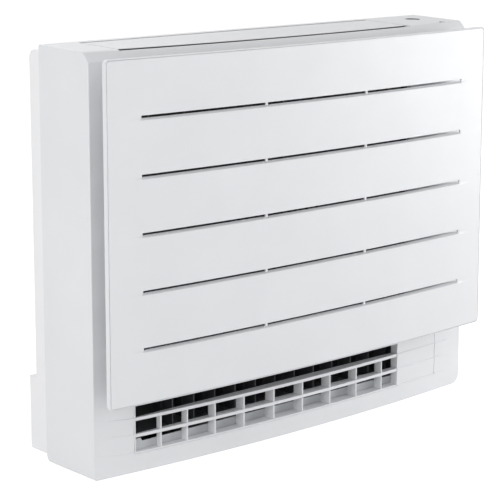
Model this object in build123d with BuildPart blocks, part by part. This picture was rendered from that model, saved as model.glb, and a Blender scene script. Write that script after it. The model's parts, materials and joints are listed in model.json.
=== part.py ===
from build123d import *
from math import cos, pi, radians, sin
import os

# Floor standing air conditioner, in millimetres.
# +X is to the right seen from the front, +Y is towards the wall and +Z is up.
# The origin is the middle of the box around the unit, on the floor.

# ---------------------------------------------------------------- driving dimensions
width = 750.0
height = 600.0
depth = 238.0
wall = 2.5              # moulded walls of the casing
seat = 0.3              # gap between pieces that are clipped or laid together
pin_gap = 0.1           # radial gap of the loose pivots
fine_pin_gap = 0.05     # radial gap of the shafts, vanes and pressed-on nuts
half_width = width / 2
wall_y = depth / 2      # plane of the room's wall
panel_y = -depth / 2    # front of the panel, at the middle

# front casing
casing_setback = 33.0   # from the panel's front to the casing's front, at the middle
casing_bow = 20.0       # how far the casing's front comes forward of its sides
casing_back_inset = 72.0
top_fall = 4.0          # the top is lower at the front by this much
front_top_radius = 14.0
edge_radius = 4.5       # the sides' edges, all the way round the front
lower_left_radius = 6.0
lower_right_radius = 16.0
lower_back_radius = 13.0
casing_y = panel_y + casing_setback
casing_back = wall_y - casing_back_inset

# front panel, its pivots and its latches
panel_bow = 14.0
panel_rim = 8.0
panel_skin = 3.0
panel_bottom = 110.0
panel_top = height - 10.0
panel_corner = 9.0
slot_count = 5
slot_pitch = 80.5
slot_top = panel_top - 78.0
slot_height = 2.4
slot_lip_height = 3.2
slot_lip_depth = 2.5
slot_lip_flat = 0.4
slot_half = half_width - 56.0
bridge_x = 100.0
bridge_width = 3.0
panel_hinge_x = half_width - 57.0
panel_hinge_y = casing_y - 6.0
panel_hinge_z = panel_bottom + 18.0
panel_pin_radius = 2.4
panel_ear = 4.0
panel_ear_radius = 5.0
latch_x = half_width - 85.0
latch_z = panel_top - 23.0
latch_length = 16.0
latch_tongue = 12.0
latch_height = 16.4
latch_rail = 2.0
tongue_height = 8.0
tongue_y = (casing_y - 9.0, casing_y - 2.0)

# top flap and its motor
flap_left = -half_width + 58.0
flap_right = half_width - 128.0
flap_front_margin = 19.0
flap_gap = 1.2
flap_hinge_y = casing_back - 25.0
flap_hinge_z = height - 16.0
flap_rear_radius = 18.3
flap_sweep_gap = 1.1
flap_pin_radius = 3.0
flap_ear = 3.0
flap_ear_radius = 5.5
casing_ear = 4.0
casing_ear_radius = 7.0
motor_radius = 12.0
motor_length = 19.0

# intake window, its guard and the air filters
window_left = -half_width + 70.0
window_right = half_width - 140.0
window_bottom = 150.0
window_top = height - 40.0
guard_y = casing_y + 21.5
guard_thickness = 2.5
guard_bar = 3.0
guard_columns = 17
guard_rows = 9
filter_thickness = 3.5
filter_frame = 7.0
filter_web = 0.6
filter_panes = 4

# lower outlet: grille, air duct, vanes and damper
outlet_left = -half_width + 65.0
outlet_open_right = half_width - 162.0
outlet_right = half_width - 68.0
sill_z = 27.0
outlet_top = 104.0
bar_z = (77.5, 53.5)
bar_front = 4.6
bar_back = 2.4
grille_back = casing_y + 20.0
rib_thickness = 2.2
rib_setback = 1.5
rib_cell = 58.0         # width of a full cell between two ribs
rib_cell_step = 4.0     # the cells narrow by this much, one after another, towards the left
rib_cell_narrow = 46.0
rib_full_from = 4       # the first cell that has its full width
insert_gap = 0.8
duct_left = outlet_left - 3.5
duct_right = half_width - 135.0
duct_wall = 2.5
duct_floor_z = 42.0
duct_ceiling_z = 108.0
duct_side_top = 126.0
duct_front = grille_back + 4.5
duct_arc_z = 148.0
duct_back_gap = 4.0
sill_back = grille_back + 20.0
vane_count = 12
vane_first = duct_left + 93.5
vane_last = duct_right - 20.0
vane_front = grille_back + 18.0
vane_y = grille_back + 44.0
vane_back = grille_back + 62.0
vane_bottom = 44.0
vane_top = 104.0
vane_thickness = 1.6
vane_pin_radius = 1.5
link_offset = 12.0
link_pin_radius = 1.0
link_notch = 4.0        # how far the notch for the tie bar reaches ahead of its pin
link_notch_height = 8.0
link_half = 2.5
link_thickness = 2.0
damper_offset = 45.0
damper_z = 108.0
damper_half = 44.0
damper_thickness = 3.0
damper_shaft_radius = 4.0
damper_end_gap = 1.0
damper_passage = 19.0

# rear frame
frame_inset = 23.0
frame_wall = 4.0
frame_back_inset = 14.0
frame_top = height - 12.0
frame_corner = 12.0
frame_edge = 3.0
box_top = 110.0         # top of the deeper box at the foot
base_front = -9.0
base_thickness = 3.0
flange_y = casing_back - 4.5
flange_thickness = 4.0
chamber_left = -half_width + 50.0
chamber_right = half_width - 131.0
chamber_bottom = 112.0
chamber_top = height - 35.0
chamber_wall = 3.0
partition = 4.0
post_x = half_width - 30.0
post_radius = 6.0
post_z = (125.0, height - 35.0)
screw_radius = 2.0
screw_head_radius = 4.0
screw_head_height = 2.6
screw_length = 16.0
back_rib_pitch = 100.0
back_rib_half = 1.5
frame_half = half_width - frame_inset
frame_back = wall_y - frame_back_inset
frame_inside = frame_back - frame_wall

# heat exchanger and drain pan
coil_left = -half_width + 85.0
coil_right = half_width - 175.0
coil_front = guard_y + guard_thickness + 4.5
coil_depth = 34.0
coil_bottom = 148.0
coil_top = height - 60.0
fin_pitch = 7.0
fin_thickness = 1.4
fin_spine = 2.0         # thin plate behind the fins that holds them together
end_plate = 1.5
bend_radius = 11.0
tube_radius = 3.5
tube_inset = 9.0
bend_pitch = 46.0
bend_first = 32.0
pan_left = coil_left - 15.0
pan_right = coil_right + 16.0
pan_bottom = 136.0
pan_top = 146.0
pan_floor = 2.5
pan_rim = 2.0
drain_x = pan_left - 13.0
drain_radius = 9.0
drain_bore = 6.5
drain_end = 118.0
coil_back = coil_front + coil_depth

# fan, motor and bracket
bellmouth_y = coil_back + 5.5
bellmouth_thickness = 3.0
bellmouth_top = chamber_top - 3.0
fan_x = (window_left + window_right) / 2
fan_z = 335.0
fan_radius = 163.0
fan_depth = 78.0
fan_plate = 2.5
inlet_radius = 104.0
inlet_gap = 3.0
blade_count = 7
blade_thickness = 3.0
blade_inner_radius = 92.0
blade_curve = 150.0
hub_radius = 14.0
shaft_radius = 4.0
shroud_y = bellmouth_y + bellmouth_thickness + 3.0
fan_back = shroud_y + fan_depth
fan_motor_radius = 45.0
fan_motor_front = fan_back - 4.0
fan_motor_back = fan_motor_front + 30.0
bracket_thickness = 2.5
bracket_size = 150.0
bracket_hole_inset = 9.0

# pipes and their flare nuts
gas_pipe_radius = 4.76
liquid_pipe_radius = 3.18
gas_nut_x = half_width - 65.0
liquid_nut_x = half_width - 93.0
nut_y = 70.0
nut_z = 60.0
nut_length = 20.0

# electrical box
box_left = chamber_right + partition
box_right = half_width - 41.0
box_front = guard_y + 16.5
box_back = flange_y - 2.5
box_low = 160.0
box_high = 440.0
sheet = 1.2
board_thickness = 1.6
board_y = box_back - 18.0

# controls on top
button_x = half_width - 54.0
button_y = 0.0
button_radius = 13.0
button_gap = 0.35
button_dish = 0.9
button_collar = 2.0
button_stem = 3.0
button_travel = 1.0
lens_x = half_width - 45.0
lens_y = casing_y + 31.0
lens_length = 14.0
lens_width = 2.6
lens_gap = 0.15
display_z = height - 16.0
display_half = 34.0

# upper air duct and vanes
upper_vane_count = 7
upper_vane_first = chamber_left + 54.0
upper_vane_last = chamber_right - 53.0
upper_vane_z = height - 52.0
upper_vane_below = 12.0
upper_vane_above = 20.0
upper_vane_thickness = 1.8
upper_vane_margin = 5.0
upper_link_drop = 7.0
upper_link_y = flap_hinge_y - 2.0
throat_top = height - 24.0
throat_low = height - 95.0
mouth_front = casing_y + 30.0
mouth_back = casing_back - 2.0

# wall plate
plate_half = 260.0
plate_low = 330.0
plate_high = 500.0
plate_thickness = 1.6
plate_hole_x = 230.0
plate_hole_z = (350.0, 480.0)
plate_hole_radius = 3.0
hook_x = 200.0
hook_half = 10.0
hook_z = 470.0
hook_rise = 12.0

os.makedirs("parts", exist_ok=True)


# ---------------------------------------------------------------- helpers
def write(piece, name):
    """Label a finished piece and write it to its own file."""
    piece.part.label = name
    export_step(piece.part, f"parts/{name}.step")


def block(x, y, z, mode=Mode.ADD):
    """A straight block, given as (low, high) along each axis."""
    middle = ((x[0] + x[1]) / 2, (y[0] + y[1]) / 2, (z[0] + z[1]) / 2)
    with Locations(middle):
        Box(x[1] - x[0], y[1] - y[0], z[1] - z[0], mode=mode)


def rod(start, length, axis, radius, mode=Mode.ADD):
    """A round rod or hole from a point, along +X, +Y or +Z."""
    turn = {"x": (0, 90, 0), "y": (-90, 0, 0), "z": (0, 0, 0)}[axis]
    with Locations(Location(start, turn)):
        Cylinder(radius, length, align=(Align.CENTER, Align.CENTER, Align.MIN), mode=mode)


def around(middle, half):
    """(low, high) about a middle."""
    return (middle - half, middle + half)


def side_profile(points, x):
    """A closed outline in Y and Z, standing at the given X."""
    with BuildSketch(Plane.YZ.offset(x)) as outline:
        with BuildLine():
            Polyline(*points, close=True)
        make_face()
    return outline.sketch


def front_at(x, inset=0.0):
    """Y of the bowed casing front at X, or of a surface behind it."""
    return casing_y + casing_bow * (x / half_width) ** 2 + inset


def panel_at(x, inset=0.0):
    """Y of the bowed panel front at X, or of a surface behind it."""
    return panel_y + panel_bow * (x / half_width) ** 2 + inset


def top_at(y, inset=0.0):
    """Height of the sloping top at Y, or of a surface under it."""
    return height - inset - top_fall * (casing_back - y) / (casing_back - casing_y)


def bowed_plan(left, right, y_of, back, z):
    """Plan of something whose front follows a bow, from left to right and back to a straight line."""
    middle = (left + right) / 2
    with BuildSketch(Plane.XY.offset(z)) as outline:
        with BuildLine():
            Polyline((right, y_of(right)), (right, back), (left, back), (left, y_of(left)))
            ThreePointArc((left, y_of(left)), (middle, y_of(middle)), (right, y_of(right)))
        make_face()
    return outline.sketch


def evenly(first, last, count):
    """Places from the first to the last, at one pitch."""
    return [first + k * (last - first) / (count - 1) for k in range(count)]


def casing_body(inset):
    """The casing's outer form, or the space inside it when inset by its wall."""
    side = half_width - inset
    rear = casing_back + (inset > 0) * wall
    ahead = casing_y - 1
    with BuildPart() as body:
        extrude(bowed_plan(-side, side, lambda x: front_at(x, inset), rear, inset), amount=height)
        slope = side_profile(((rear + 1, top_at(rear + 1, inset)), (ahead, top_at(ahead, inset)),
                              (ahead, height * 2), (rear + 1, height * 2)), -width)
        extrude(slope, amount=width * 2, mode=Mode.SUBTRACT)
        floor_edges = body.faces().sort_by(Axis.Z)[0].edges().sort_by(Axis.X)
        fillet(floor_edges[0], lower_left_radius - inset)
        floor_edges = body.faces().sort_by(Axis.Z)[0].edges().sort_by(Axis.X)
        fillet(floor_edges[-1], lower_right_radius - inset)
        top = body.faces().sort_by(Axis.Z)[-1]
        fillet(top.edges().sort_by(Axis.Y)[0], front_top_radius - inset)
        top_edges = body.faces().sort_by(Axis.Z)[-1].edges().sort_by(Axis.X)
        fillet([top_edges[0], top_edges[-1]], edge_radius - inset)
    return body.part


def flap_plan(gap, z):
    """Plan of the top flap's opening, or of the flap when drawn in by its gap."""
    return bowed_plan(flap_left + gap, flap_right - gap,
                      lambda x: front_at(x, flap_front_margin + gap), flap_hinge_y, z)


outer_form = casing_body(0.0)
inner_form = casing_body(wall)
vane_x = evenly(vane_first, vane_last, vane_count)
upper_vane_x = evenly(upper_vane_first, upper_vane_last, upper_vane_count)
arc_radius = duct_arc_z - duct_floor_z
duct_back = frame_inside - duct_back_gap
arc_y = duct_back - arc_radius
damper_y = arc_y + damper_offset

# ---------------------------------------------------------------- front casing
with BuildPart() as window_sleeve:
    block((window_left - wall, window_right + wall), (casing_y - 1, guard_y + guard_thickness),
          (window_bottom - wall, window_top + wall))
    block((window_left, window_right), (casing_y - 2, guard_y), (window_bottom, window_top), Mode.SUBTRACT)
    cell_x = (window_right - window_left - guard_bar) / guard_columns
    cell_z = (window_top - window_bottom - guard_bar) / guard_rows
    middle = ((window_left + window_right) / 2, guard_y, (window_bottom + window_top) / 2)
    with BuildSketch(Plane(origin=middle, x_dir=(1, 0, 0), z_dir=(0, -1, 0))) as guard_holes:
        with GridLocations(cell_x, cell_z, guard_columns, guard_rows):
            Rectangle(cell_x - guard_bar, cell_z - guard_bar)
    extrude(amount=guard_thickness * 2, both=True, mode=Mode.SUBTRACT)
    add(outer_form, mode=Mode.INTERSECT)

ear_top = top_at(flap_hinge_y) - 1
ear_outline = ((flap_hinge_y - 8, ear_top), (flap_hinge_y + 8, ear_top),
               (flap_hinge_y + casing_ear_radius, flap_hinge_z),
               (flap_hinge_y - casing_ear_radius, flap_hinge_z))
board_front = lens_y - 3.0
board_rear = button_y + 26.0
board_x = around(half_width - 55.0, display_half)
with BuildPart() as front_casing:
    add(outer_form)
    add(inner_form, mode=Mode.SUBTRACT)
    # floor left open for the rear frame's base, and a rounded lower back corner
    block(around(0, frame_half + seat), (base_front - seat, casing_back + 1), (-1, wall + 1), Mode.SUBTRACT)
    corner = casing_back - lower_back_radius
    with BuildSketch(Plane.YZ.offset(-width)) as back_corner:
        with Locations(((corner + casing_back + 1) / 2, (lower_back_radius - 1) / 2)):
            Rectangle(lower_back_radius + 1, lower_back_radius + 1)
        with Locations((corner, lower_back_radius)):
            Circle(lower_back_radius, mode=Mode.SUBTRACT)
    extrude(amount=width * 2, mode=Mode.SUBTRACT)
    # intake window with its sleeve and guard, and the lower outlet
    block((window_left, window_right), (casing_y - 1, guard_y + guard_thickness), (window_bottom, window_top),
          Mode.SUBTRACT)
    add(window_sleeve.part)
    block((outlet_left, outlet_right), (casing_y - 1, grille_back + 2), (sill_z, outlet_top), Mode.SUBTRACT)
    # opening for the top flap, with room for its rear edge to turn
    extrude(flap_plan(0, top_at(casing_y) - 3 * wall), amount=height, mode=Mode.SUBTRACT)
    rod((flap_left, flap_hinge_y, flap_hinge_z), flap_right - flap_left, "x",
        flap_rear_radius + flap_sweep_gap, Mode.SUBTRACT)
    for ear_x in (flap_left - seat - casing_ear, flap_right + seat):
        extrude(side_profile(ear_outline, ear_x), amount=casing_ear)
        rod((ear_x, flap_hinge_y, flap_hinge_z), casing_ear, "x", casing_ear_radius)
        rod((ear_x - 1, flap_hinge_y, flap_hinge_z), casing_ear + 2, "x", flap_pin_radius + fine_pin_gap,
            Mode.SUBTRACT)
    # button and indicator holes, and posts for the display board
    rod((button_x, button_y, display_z + 8), 20, "z", button_radius + button_gap, Mode.SUBTRACT)
    block(around(lens_x, lens_length / 2 + lens_gap), around(lens_y, lens_width / 2 + lens_gap),
          (display_z, height), Mode.SUBTRACT)
    board_top = display_z + board_thickness
    for x in (board_x[0] + 8, board_x[1] - 8):
        for y in (board_front + 18, board_rear - 6):
            rod((x, y, board_top), top_at(y) - 1 - board_top, "z", 2.5)
    for side in (-1, 1):
        # pivot ears for the panel, each with its pin
        root_y = front_at(panel_hinge_x) + 1
        inner = side * (panel_hinge_x + panel_ear / 2 + 1)
        outer = inner + side * panel_ear
        tip = side * (panel_hinge_x - panel_ear / 2 - 1)
        block(sorted((inner, outer)), (panel_hinge_y, root_y), around(panel_hinge_z, panel_ear_radius))
        rod((min(inner, outer), panel_hinge_y, panel_hinge_z), panel_ear, "x", panel_ear_radius)
        rod((min(tip, outer), panel_hinge_y, panel_hinge_z), abs(outer - tip), "x", panel_pin_radius)
        # forked catch for the latch's tongue, open to the front
        catch = around(side * (latch_x + latch_length + 8.5), 1.5)
        block(catch, (tongue_y[0] - 1, root_y), around(latch_z, tongue_height / 2 + 6))
        block(around(side * (latch_x + latch_length + 8.5), 2.5), (tongue_y[0] - 2, tongue_y[1] + 1.5),
              around(latch_z, tongue_height / 2 + 1), Mode.SUBTRACT)
        # sunk screw holes
        for z in post_z:
            seat_y = front_at(post_x) + 0.7
            rod((side * post_x, seat_y - 20, z), 20, "y", screw_head_radius + 1, Mode.SUBTRACT)
            rod((side * post_x, seat_y - 1, z), 10, "y", screw_radius + seat, Mode.SUBTRACT)
write(front_casing, "front_casing")


# ---------------------------------------------------------------- front panel
def panel_slice(inset, back):
    """The space between a surface behind the panel's bowed front and one behind that, past its edges."""
    reach = half_width + 2 * panel_corner
    with BuildSketch(Plane.XY.offset(panel_bottom - panel_corner)) as outline:
        with BuildLine():
            Line((reach, panel_at(reach, inset)), (reach, panel_at(reach, back)))
            ThreePointArc((reach, panel_at(reach, back)), (0, panel_at(0, back)),
                          (-reach, panel_at(reach, back)))
            Line((-reach, panel_at(reach, back)), (-reach, panel_at(reach, inset)))
            ThreePointArc((-reach, panel_at(reach, inset)), (0, panel_at(0, inset)),
                          (reach, panel_at(reach, inset)))
        make_face()
    return extrude(outline.sketch, amount=panel_top - panel_bottom + 2 * panel_corner, mode=Mode.PRIVATE)


def panel_outline(margin, radius):
    """The panel's rounded rectangle seen from the front, as a sketch ahead of it."""
    face = Plane(origin=(0, panel_y - 5, (panel_bottom + panel_top) / 2), x_dir=(1, 0, 0), z_dir=(0, 1, 0))
    with BuildSketch(face) as outline:
        RectangleRounded(width - 2 * margin, panel_top - panel_bottom - 2 * margin, radius)
    return outline.sketch


# the slots follow the bow: each is a profile turned about the bow's own centre
bow_radius = (half_width ** 2 + panel_bow ** 2) / (2 * panel_bow)


def slot_tool(x_from, x_to, profile):
    """A cut with the given profile (distance behind the front, height), between two places along the bow."""
    turn = x_from / bow_radius
    plane = Plane(origin=(bow_radius * sin(turn), panel_y + bow_radius * (1 - cos(turn)), 0),
                  x_dir=(-sin(turn), cos(turn), 0), z_dir=(cos(turn), sin(turn), 0))
    with BuildPart() as tool:
        with BuildSketch(plane) as section:
            with BuildLine():
                Polyline(*profile, close=True)
            make_face()
        revolve(axis=Axis((0, panel_y + bow_radius, 0), (0, 0, 1)),
                revolution_arc=(x_to - x_from) / bow_radius * 180 / pi)
    return tool.part


with BuildPart() as panel_pocket:
    add(panel_slice(panel_skin, panel_rim + 2))
    extrude(panel_outline(panel_skin, panel_corner - panel_skin), amount=depth, mode=Mode.INTERSECT)
with BuildPart() as front_panel:
    add(panel_slice(0, panel_rim))
    extrude(panel_outline(0, panel_corner), amount=depth, mode=Mode.INTERSECT)
    add(panel_pocket.part, mode=Mode.SUBTRACT)
    bridge_edge = bridge_x + bridge_width / 2
    for row in range(slot_count):
        top = slot_top - row * slot_pitch
        low = top - slot_height
        lip = ((-1, low), (slot_lip_depth, low), (slot_lip_depth, low - slot_lip_flat),
               (-1, low - slot_lip_height))
        slit = ((-1, top), (panel_rim, top), (panel_rim, low), (-1, low))
        add(slot_tool(-slot_half, slot_half, lip), mode=Mode.SUBTRACT)
        for left, right in ((-slot_half, -bridge_edge), (bridge_width - bridge_edge,
                                                         bridge_edge - bridge_width),
                            (bridge_edge, slot_half)):
            add(slot_tool(left, right, slit), mode=Mode.SUBTRACT)
    # pivot arms and latch rails on the back
    for side in (-1, 1):
        arm = around(side * panel_hinge_x, panel_ear / 2)
        skin_y = panel_at(panel_hinge_x, panel_skin) - 1
        block(arm, (skin_y, panel_hinge_y), around(panel_hinge_z, panel_ear_radius))
        rod((arm[0], panel_hinge_y, panel_hinge_z), panel_ear, "x", panel_ear_radius)
        rod((arm[0] - 1, panel_hinge_y, panel_hinge_z), panel_ear + 2, "x", panel_pin_radius + pin_gap,
            Mode.SUBTRACT)
        guide = sorted((side * (latch_x - 8), side * (latch_x + latch_length)))
        for edge in (-1, 1):
            near = latch_z + edge * (latch_height / 2 + seat)
            block(guide, (panel_at(latch_x, panel_skin) - 1, tongue_y[0] - 2),
                  sorted((near, near + edge * latch_rail)))
write(front_panel, "front_panel")

for name, side in (("panel_latch_left", -1), ("panel_latch_right", 1)):
    with BuildPart() as panel_latch:
        slider = sorted((side * latch_x, side * (latch_x + latch_length)))
        tongue = sorted((side * (latch_x + latch_length - 1), side * (latch_x + latch_length + latch_tongue)))
        slider_front = panel_at(latch_x + latch_length, panel_skin) + seat
        block(slider, (slider_front, casing_y), around(latch_z, latch_height / 2))
        block(tongue, tongue_y, around(latch_z, tongue_height / 2))
        for rib in range(3):
            x = side * (latch_x + 3 + rib * 4.5)
            block(around(x, 0.8), (casing_y - 0.5, casing_y + 1.5), around(latch_z, 6))
    write(panel_latch, name)

# ---------------------------------------------------------------- top flap
with BuildPart() as top_flap:
    extrude(flap_plan(flap_gap, flap_hinge_z), amount=height)
    with BuildPart(mode=Mode.PRIVATE) as rear_edge:
        rod((flap_left + flap_gap, flap_hinge_y, flap_hinge_z), flap_right - flap_left - 2 * flap_gap, "x",
            flap_rear_radius)
        block((flap_left, flap_right), (flap_hinge_y - 2 * flap_rear_radius, flap_hinge_y - 0.01),
              (flap_hinge_z - 2 * flap_rear_radius, height), Mode.SUBTRACT)
    add(rear_edge.part)
    add(outer_form, mode=Mode.INTERSECT)
    add(inner_form, mode=Mode.SUBTRACT)
    for x in (flap_left + flap_gap + 2, flap_right - flap_gap - 2 - flap_ear):
        extrude(side_profile(((flap_hinge_y - 14, top_at(button_y) - 1.5),
                              (flap_hinge_y + 7, top_at(flap_hinge_y) - 1.5),
                              (flap_hinge_y + 5, flap_hinge_z), (flap_hinge_y - 5, flap_hinge_z)), x),
                amount=flap_ear)
        rod((x, flap_hinge_y, flap_hinge_z), flap_ear, "x", flap_ear_radius)
    pin_reach = flap_gap + 2 + seat + casing_ear
    rod((flap_left - seat - casing_ear, flap_hinge_y, flap_hinge_z), pin_reach + 1, "x", flap_pin_radius)
    rod((flap_right - flap_gap - 3, flap_hinge_y, flap_hinge_z), pin_reach + 1, "x", flap_pin_radius)
    # stiffening ribs under the plate
    for y in (flap_hinge_y - 57, flap_hinge_y - 30):
        block((flap_left + 20, flap_right - 20), around(y, 0.8), (top_at(y) - wall - 3, top_at(y) - 1))
write(top_flap, "top_flap")


def stepper(name, face_x, y, z):
    """A small geared stepper with its can, lugs and cable outlet, its face against a wall at X."""
    with BuildPart() as motor:
        rod((face_x, y, z), motor_length, "x", motor_radius)
        block((face_x, face_x + 1.2), around(y, 17.5), around(z, 3.5))
        block((face_x + motor_length - 8, face_x + motor_length), around(y, 7), (z - motor_radius - 3, z))
        for lug in (-1, 1):
            rod((face_x - 1, y + lug * 15.0, z), 4, "x", 1.6, Mode.SUBTRACT)
    write(motor, name)


stepper("top_flap_motor", flap_right + seat + casing_ear + seat, flap_hinge_y, flap_hinge_z)

# ---------------------------------------------------------------- button, lens and display board
switch_height = 3.0
with BuildPart() as power_button:
    rod((button_x, button_y, display_z + 8), 20, "z", button_radius)
    add(outer_form, mode=Mode.INTERSECT)
    add(inner_form, mode=Mode.SUBTRACT)
    dish_radius = (button_radius ** 2 + button_dish ** 2) / (2 * button_dish)
    with Locations((button_x, button_y, top_at(button_y) + dish_radius - button_dish)):
        Sphere(dish_radius, mode=Mode.SUBTRACT)
    collar_top = top_at(button_y - button_radius) - wall - seat - 0.5
    stem_foot = board_top + switch_height + button_travel + seat
    rod((button_x, button_y, collar_top - 1.5), 1.5, "z", button_radius + button_collar)
    rod((button_x, button_y, collar_top), wall, "z", button_radius - button_collar)
    rod((button_x, button_y, stem_foot), collar_top + seat - stem_foot, "z", button_stem)
write(power_button, "power_button")

lamp_height = 2.0
with BuildPart() as indicator_lens:
    block(around(lens_x, lens_length / 2), around(lens_y, lens_width / 2), (display_z, height))
    add(outer_form, mode=Mode.INTERSECT)
    add(inner_form, mode=Mode.SUBTRACT)
    block(around(lens_x, 3), around(lens_y, 1), (board_top + lamp_height + 0.2, top_at(lens_y) - wall + 0.5))
write(indicator_lens, "indicator_lens")

with BuildPart() as display_board:
    block(board_x, (board_front, board_rear), (display_z, board_top))
    block(around(button_x, 3), around(button_y, 3), (board_top, board_top + switch_height))
    block(around(lens_x, 2), (lens_y - 1, lens_y + 3), (board_top, board_top + lamp_height))
    block((board_x[0] + 14, board_x[0] + 34), (button_y + 8, button_y + 14), (display_z - 5, display_z))
write(display_board, "display_board")

# ---------------------------------------------------------------- lower grille
insert_left = outlet_left + insert_gap
insert_right = outlet_right - insert_gap
insert_low = sill_z + insert_gap
insert_high = outlet_top - insert_gap
opening_left = insert_left + rib_thickness


def grille_bar(z, front, back):
    """A thin bar with a bowed front and a straight back, tapering from front to back."""
    with BuildPart() as slat:
        extrude(bowed_plan(opening_left - 1, outlet_open_right + 1, front_at, grille_back, z - front),
                amount=2 * front)
        for up in (1, -1):
            wedge = side_profile(((casing_y - 1, z + up * front / 2), (grille_back + 1, z + up * back / 2),
                                  (grille_back + 1, z + up * 2 * front), (casing_y - 1, z + up * 2 * front)),
                                 outlet_left - 5)
            extrude(wedge, amount=outlet_right - outlet_left + 10, mode=Mode.SUBTRACT)
    return slat.part


def rib_places():
    """X of each rib: the cells start narrow at the left end and widen to the full cell."""
    places = []
    x = insert_left + rib_cell_narrow
    while x < outlet_open_right - rib_cell / 2:
        places.append(x)
        narrowing = rib_cell_step * max(0, rib_full_from - len(places))
        x += max(rib_cell_narrow, rib_cell - narrowing)
    return places


with BuildPart() as lower_grille:
    extrude(bowed_plan(insert_left, insert_right, front_at, grille_back, insert_low),
            amount=insert_high - insert_low)
    # the open part, leaving the blank right end hollow behind its face
    block((opening_left, outlet_open_right), (casing_y - 1, grille_back + 1), (sill_z, outlet_top),
          Mode.SUBTRACT)
    with BuildPart(mode=Mode.PRIVATE) as blank_hollow:
        extrude(bowed_plan(outlet_open_right + wall, insert_right - wall, lambda x: front_at(x, wall),
                           grille_back + 1, insert_low + wall), amount=insert_high - insert_low - 2 * wall)
    add(blank_hollow.part, mode=Mode.SUBTRACT)
    for z in bar_z:
        add(grille_bar(z, bar_front, bar_back))
    for z in (insert_low + bar_back / 2, insert_high - bar_back / 2):
        add(grille_bar(z, bar_back, bar_back))
    for x in rib_places():
        block(around(x, rib_thickness / 2), (front_at(x, rib_setback), grille_back),
              (insert_low + 0.5, bar_z[0]))
write(lower_grille, "lower_grille")

# ---------------------------------------------------------------- rear frame
post_tip = front_at(post_x + post_radius, wall) + seat
boss_place = bracket_size / 2 - bracket_hole_inset
boss_start = fan_motor_back + bracket_thickness
back_ribs = int(frame_half / back_rib_pitch)
with BuildPart() as rear_frame:
    upper = side_profile(((flange_y, 0), (flange_y, frame_top), (frame_back, frame_top), (frame_back, 0)),
                         -frame_half)
    extrude(upper, amount=2 * frame_half)
    fillet(rear_frame.edges().filter_by(Axis.X).group_by(Axis.Z)[-1].sort_by(Axis.Y)[-1], frame_corner)
    fillet(rear_frame.edges().filter_by(Axis.Z), frame_edge)
    block(around(0, frame_half - frame_wall), (flange_y - 1, frame_inside), (-1, frame_top - frame_wall),
          Mode.SUBTRACT)
    # deeper box at the foot, reaching the wall, and the base
    block(around(0, frame_half), (frame_inside, wall_y), (0, box_top))
    block(around(0, frame_half - frame_wall), (flange_y - 1, wall_y - frame_wall), (-1, box_top - frame_wall),
          Mode.SUBTRACT)
    block(around(0, frame_half), (base_front, wall_y), (0, base_thickness))
    # flange that closes the gap to the casing
    lip = half_width - wall - seat
    for side in (-1, 1):
        block(sorted((side * (frame_half - frame_wall), side * lip)), (flange_y, flange_y + flange_thickness),
              (lower_back_radius + wall, height - 2 * wall - seat))
    block(around(0, lip - edge_radius), (flange_y, flange_y + flange_thickness),
          (frame_top - frame_wall, height - wall - 0.5))
    # walls of the fan chamber
    for x in ((chamber_left - chamber_wall, chamber_left), (chamber_right, chamber_right + partition)):
        block(x, (bellmouth_y + bellmouth_thickness, frame_inside + 1), (chamber_bottom, chamber_top))
    rod((chamber_right - 1, damper_y, damper_z), partition + 2, "x", damper_passage, Mode.SUBTRACT)
    # bosses for the fan motor's bracket, posts for the casing's screws
    for x in (fan_x - boss_place, fan_x + boss_place):
        for z in (fan_z - boss_place, fan_z + boss_place):
            rod((x, boss_start, z), frame_inside - boss_start + 1, "y", 6)
    for x in (-post_x, post_x):
        for z in post_z:
            rod((x, post_tip, z), flange_y - post_tip + 1, "y", post_radius)
            rod((x, post_tip - 1, z), screw_length + 3, "y", screw_radius + fine_pin_gap, Mode.SUBTRACT)
    # slots for the wall plate's hooks, and ribs on the back of the deeper box
    for x in (-hook_x, hook_x):
        block(around(x, hook_half + 2), (frame_inside - 1, frame_back + 1),
              (hook_z - 2, hook_z + hook_rise + 4),
              Mode.SUBTRACT)
    for k in range(-back_ribs, back_ribs + 1):
        block(around(k * back_rib_pitch, back_rib_half), (wall_y - frame_wall - 10, wall_y - frame_wall + 1),
              (base_thickness - 1, box_top - frame_wall + 1))
write(rear_frame, "rear_frame")

with BuildPart() as casing_screws:
    head_y = front_at(post_x) + 0.7 - screw_head_height
    for x in (-post_x, post_x):
        for z in post_z:
            rod((x, head_y, z), screw_head_height, "y", screw_head_radius)
            rod((x, head_y + screw_head_height - 0.5, z), screw_length, "y", screw_radius)
            # cross recess
            block(around(x, 2.6), (head_y - 1, head_y + 1.2), around(z, 0.5), Mode.SUBTRACT)
            block(around(x, 0.5), (head_y - 1, head_y + 1.2), around(z, 2.6), Mode.SUBTRACT)
write(casing_screws, "casing_screws")

hook_y = frame_inside - seat - plate_thickness
with BuildPart() as wall_plate:
    block(around(0, plate_half), (wall_y - plate_thickness, wall_y), (plate_low, plate_high))
    fillet(wall_plate.edges().filter_by(Axis.Y), 8.0)
    for x in (-plate_hole_x, plate_hole_x):
        for z in plate_hole_z:
            rod((x, wall_y - 5, z), 10, "y", plate_hole_radius, Mode.SUBTRACT)
    # hooks folded forward out of the plate
    for x in (-hook_x, hook_x):
        block(around(x, hook_half + 2), (wall_y - 5, wall_y + 1), (hook_z, hook_z + hook_rise + 14),
              Mode.SUBTRACT)
        block(around(x, hook_half), (hook_y, wall_y), (hook_z - plate_thickness, hook_z))
        block(around(x, hook_half), (hook_y, hook_y + plate_thickness),
              (hook_z - plate_thickness, hook_z + hook_rise))
write(wall_plate, "wall_plate")

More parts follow.
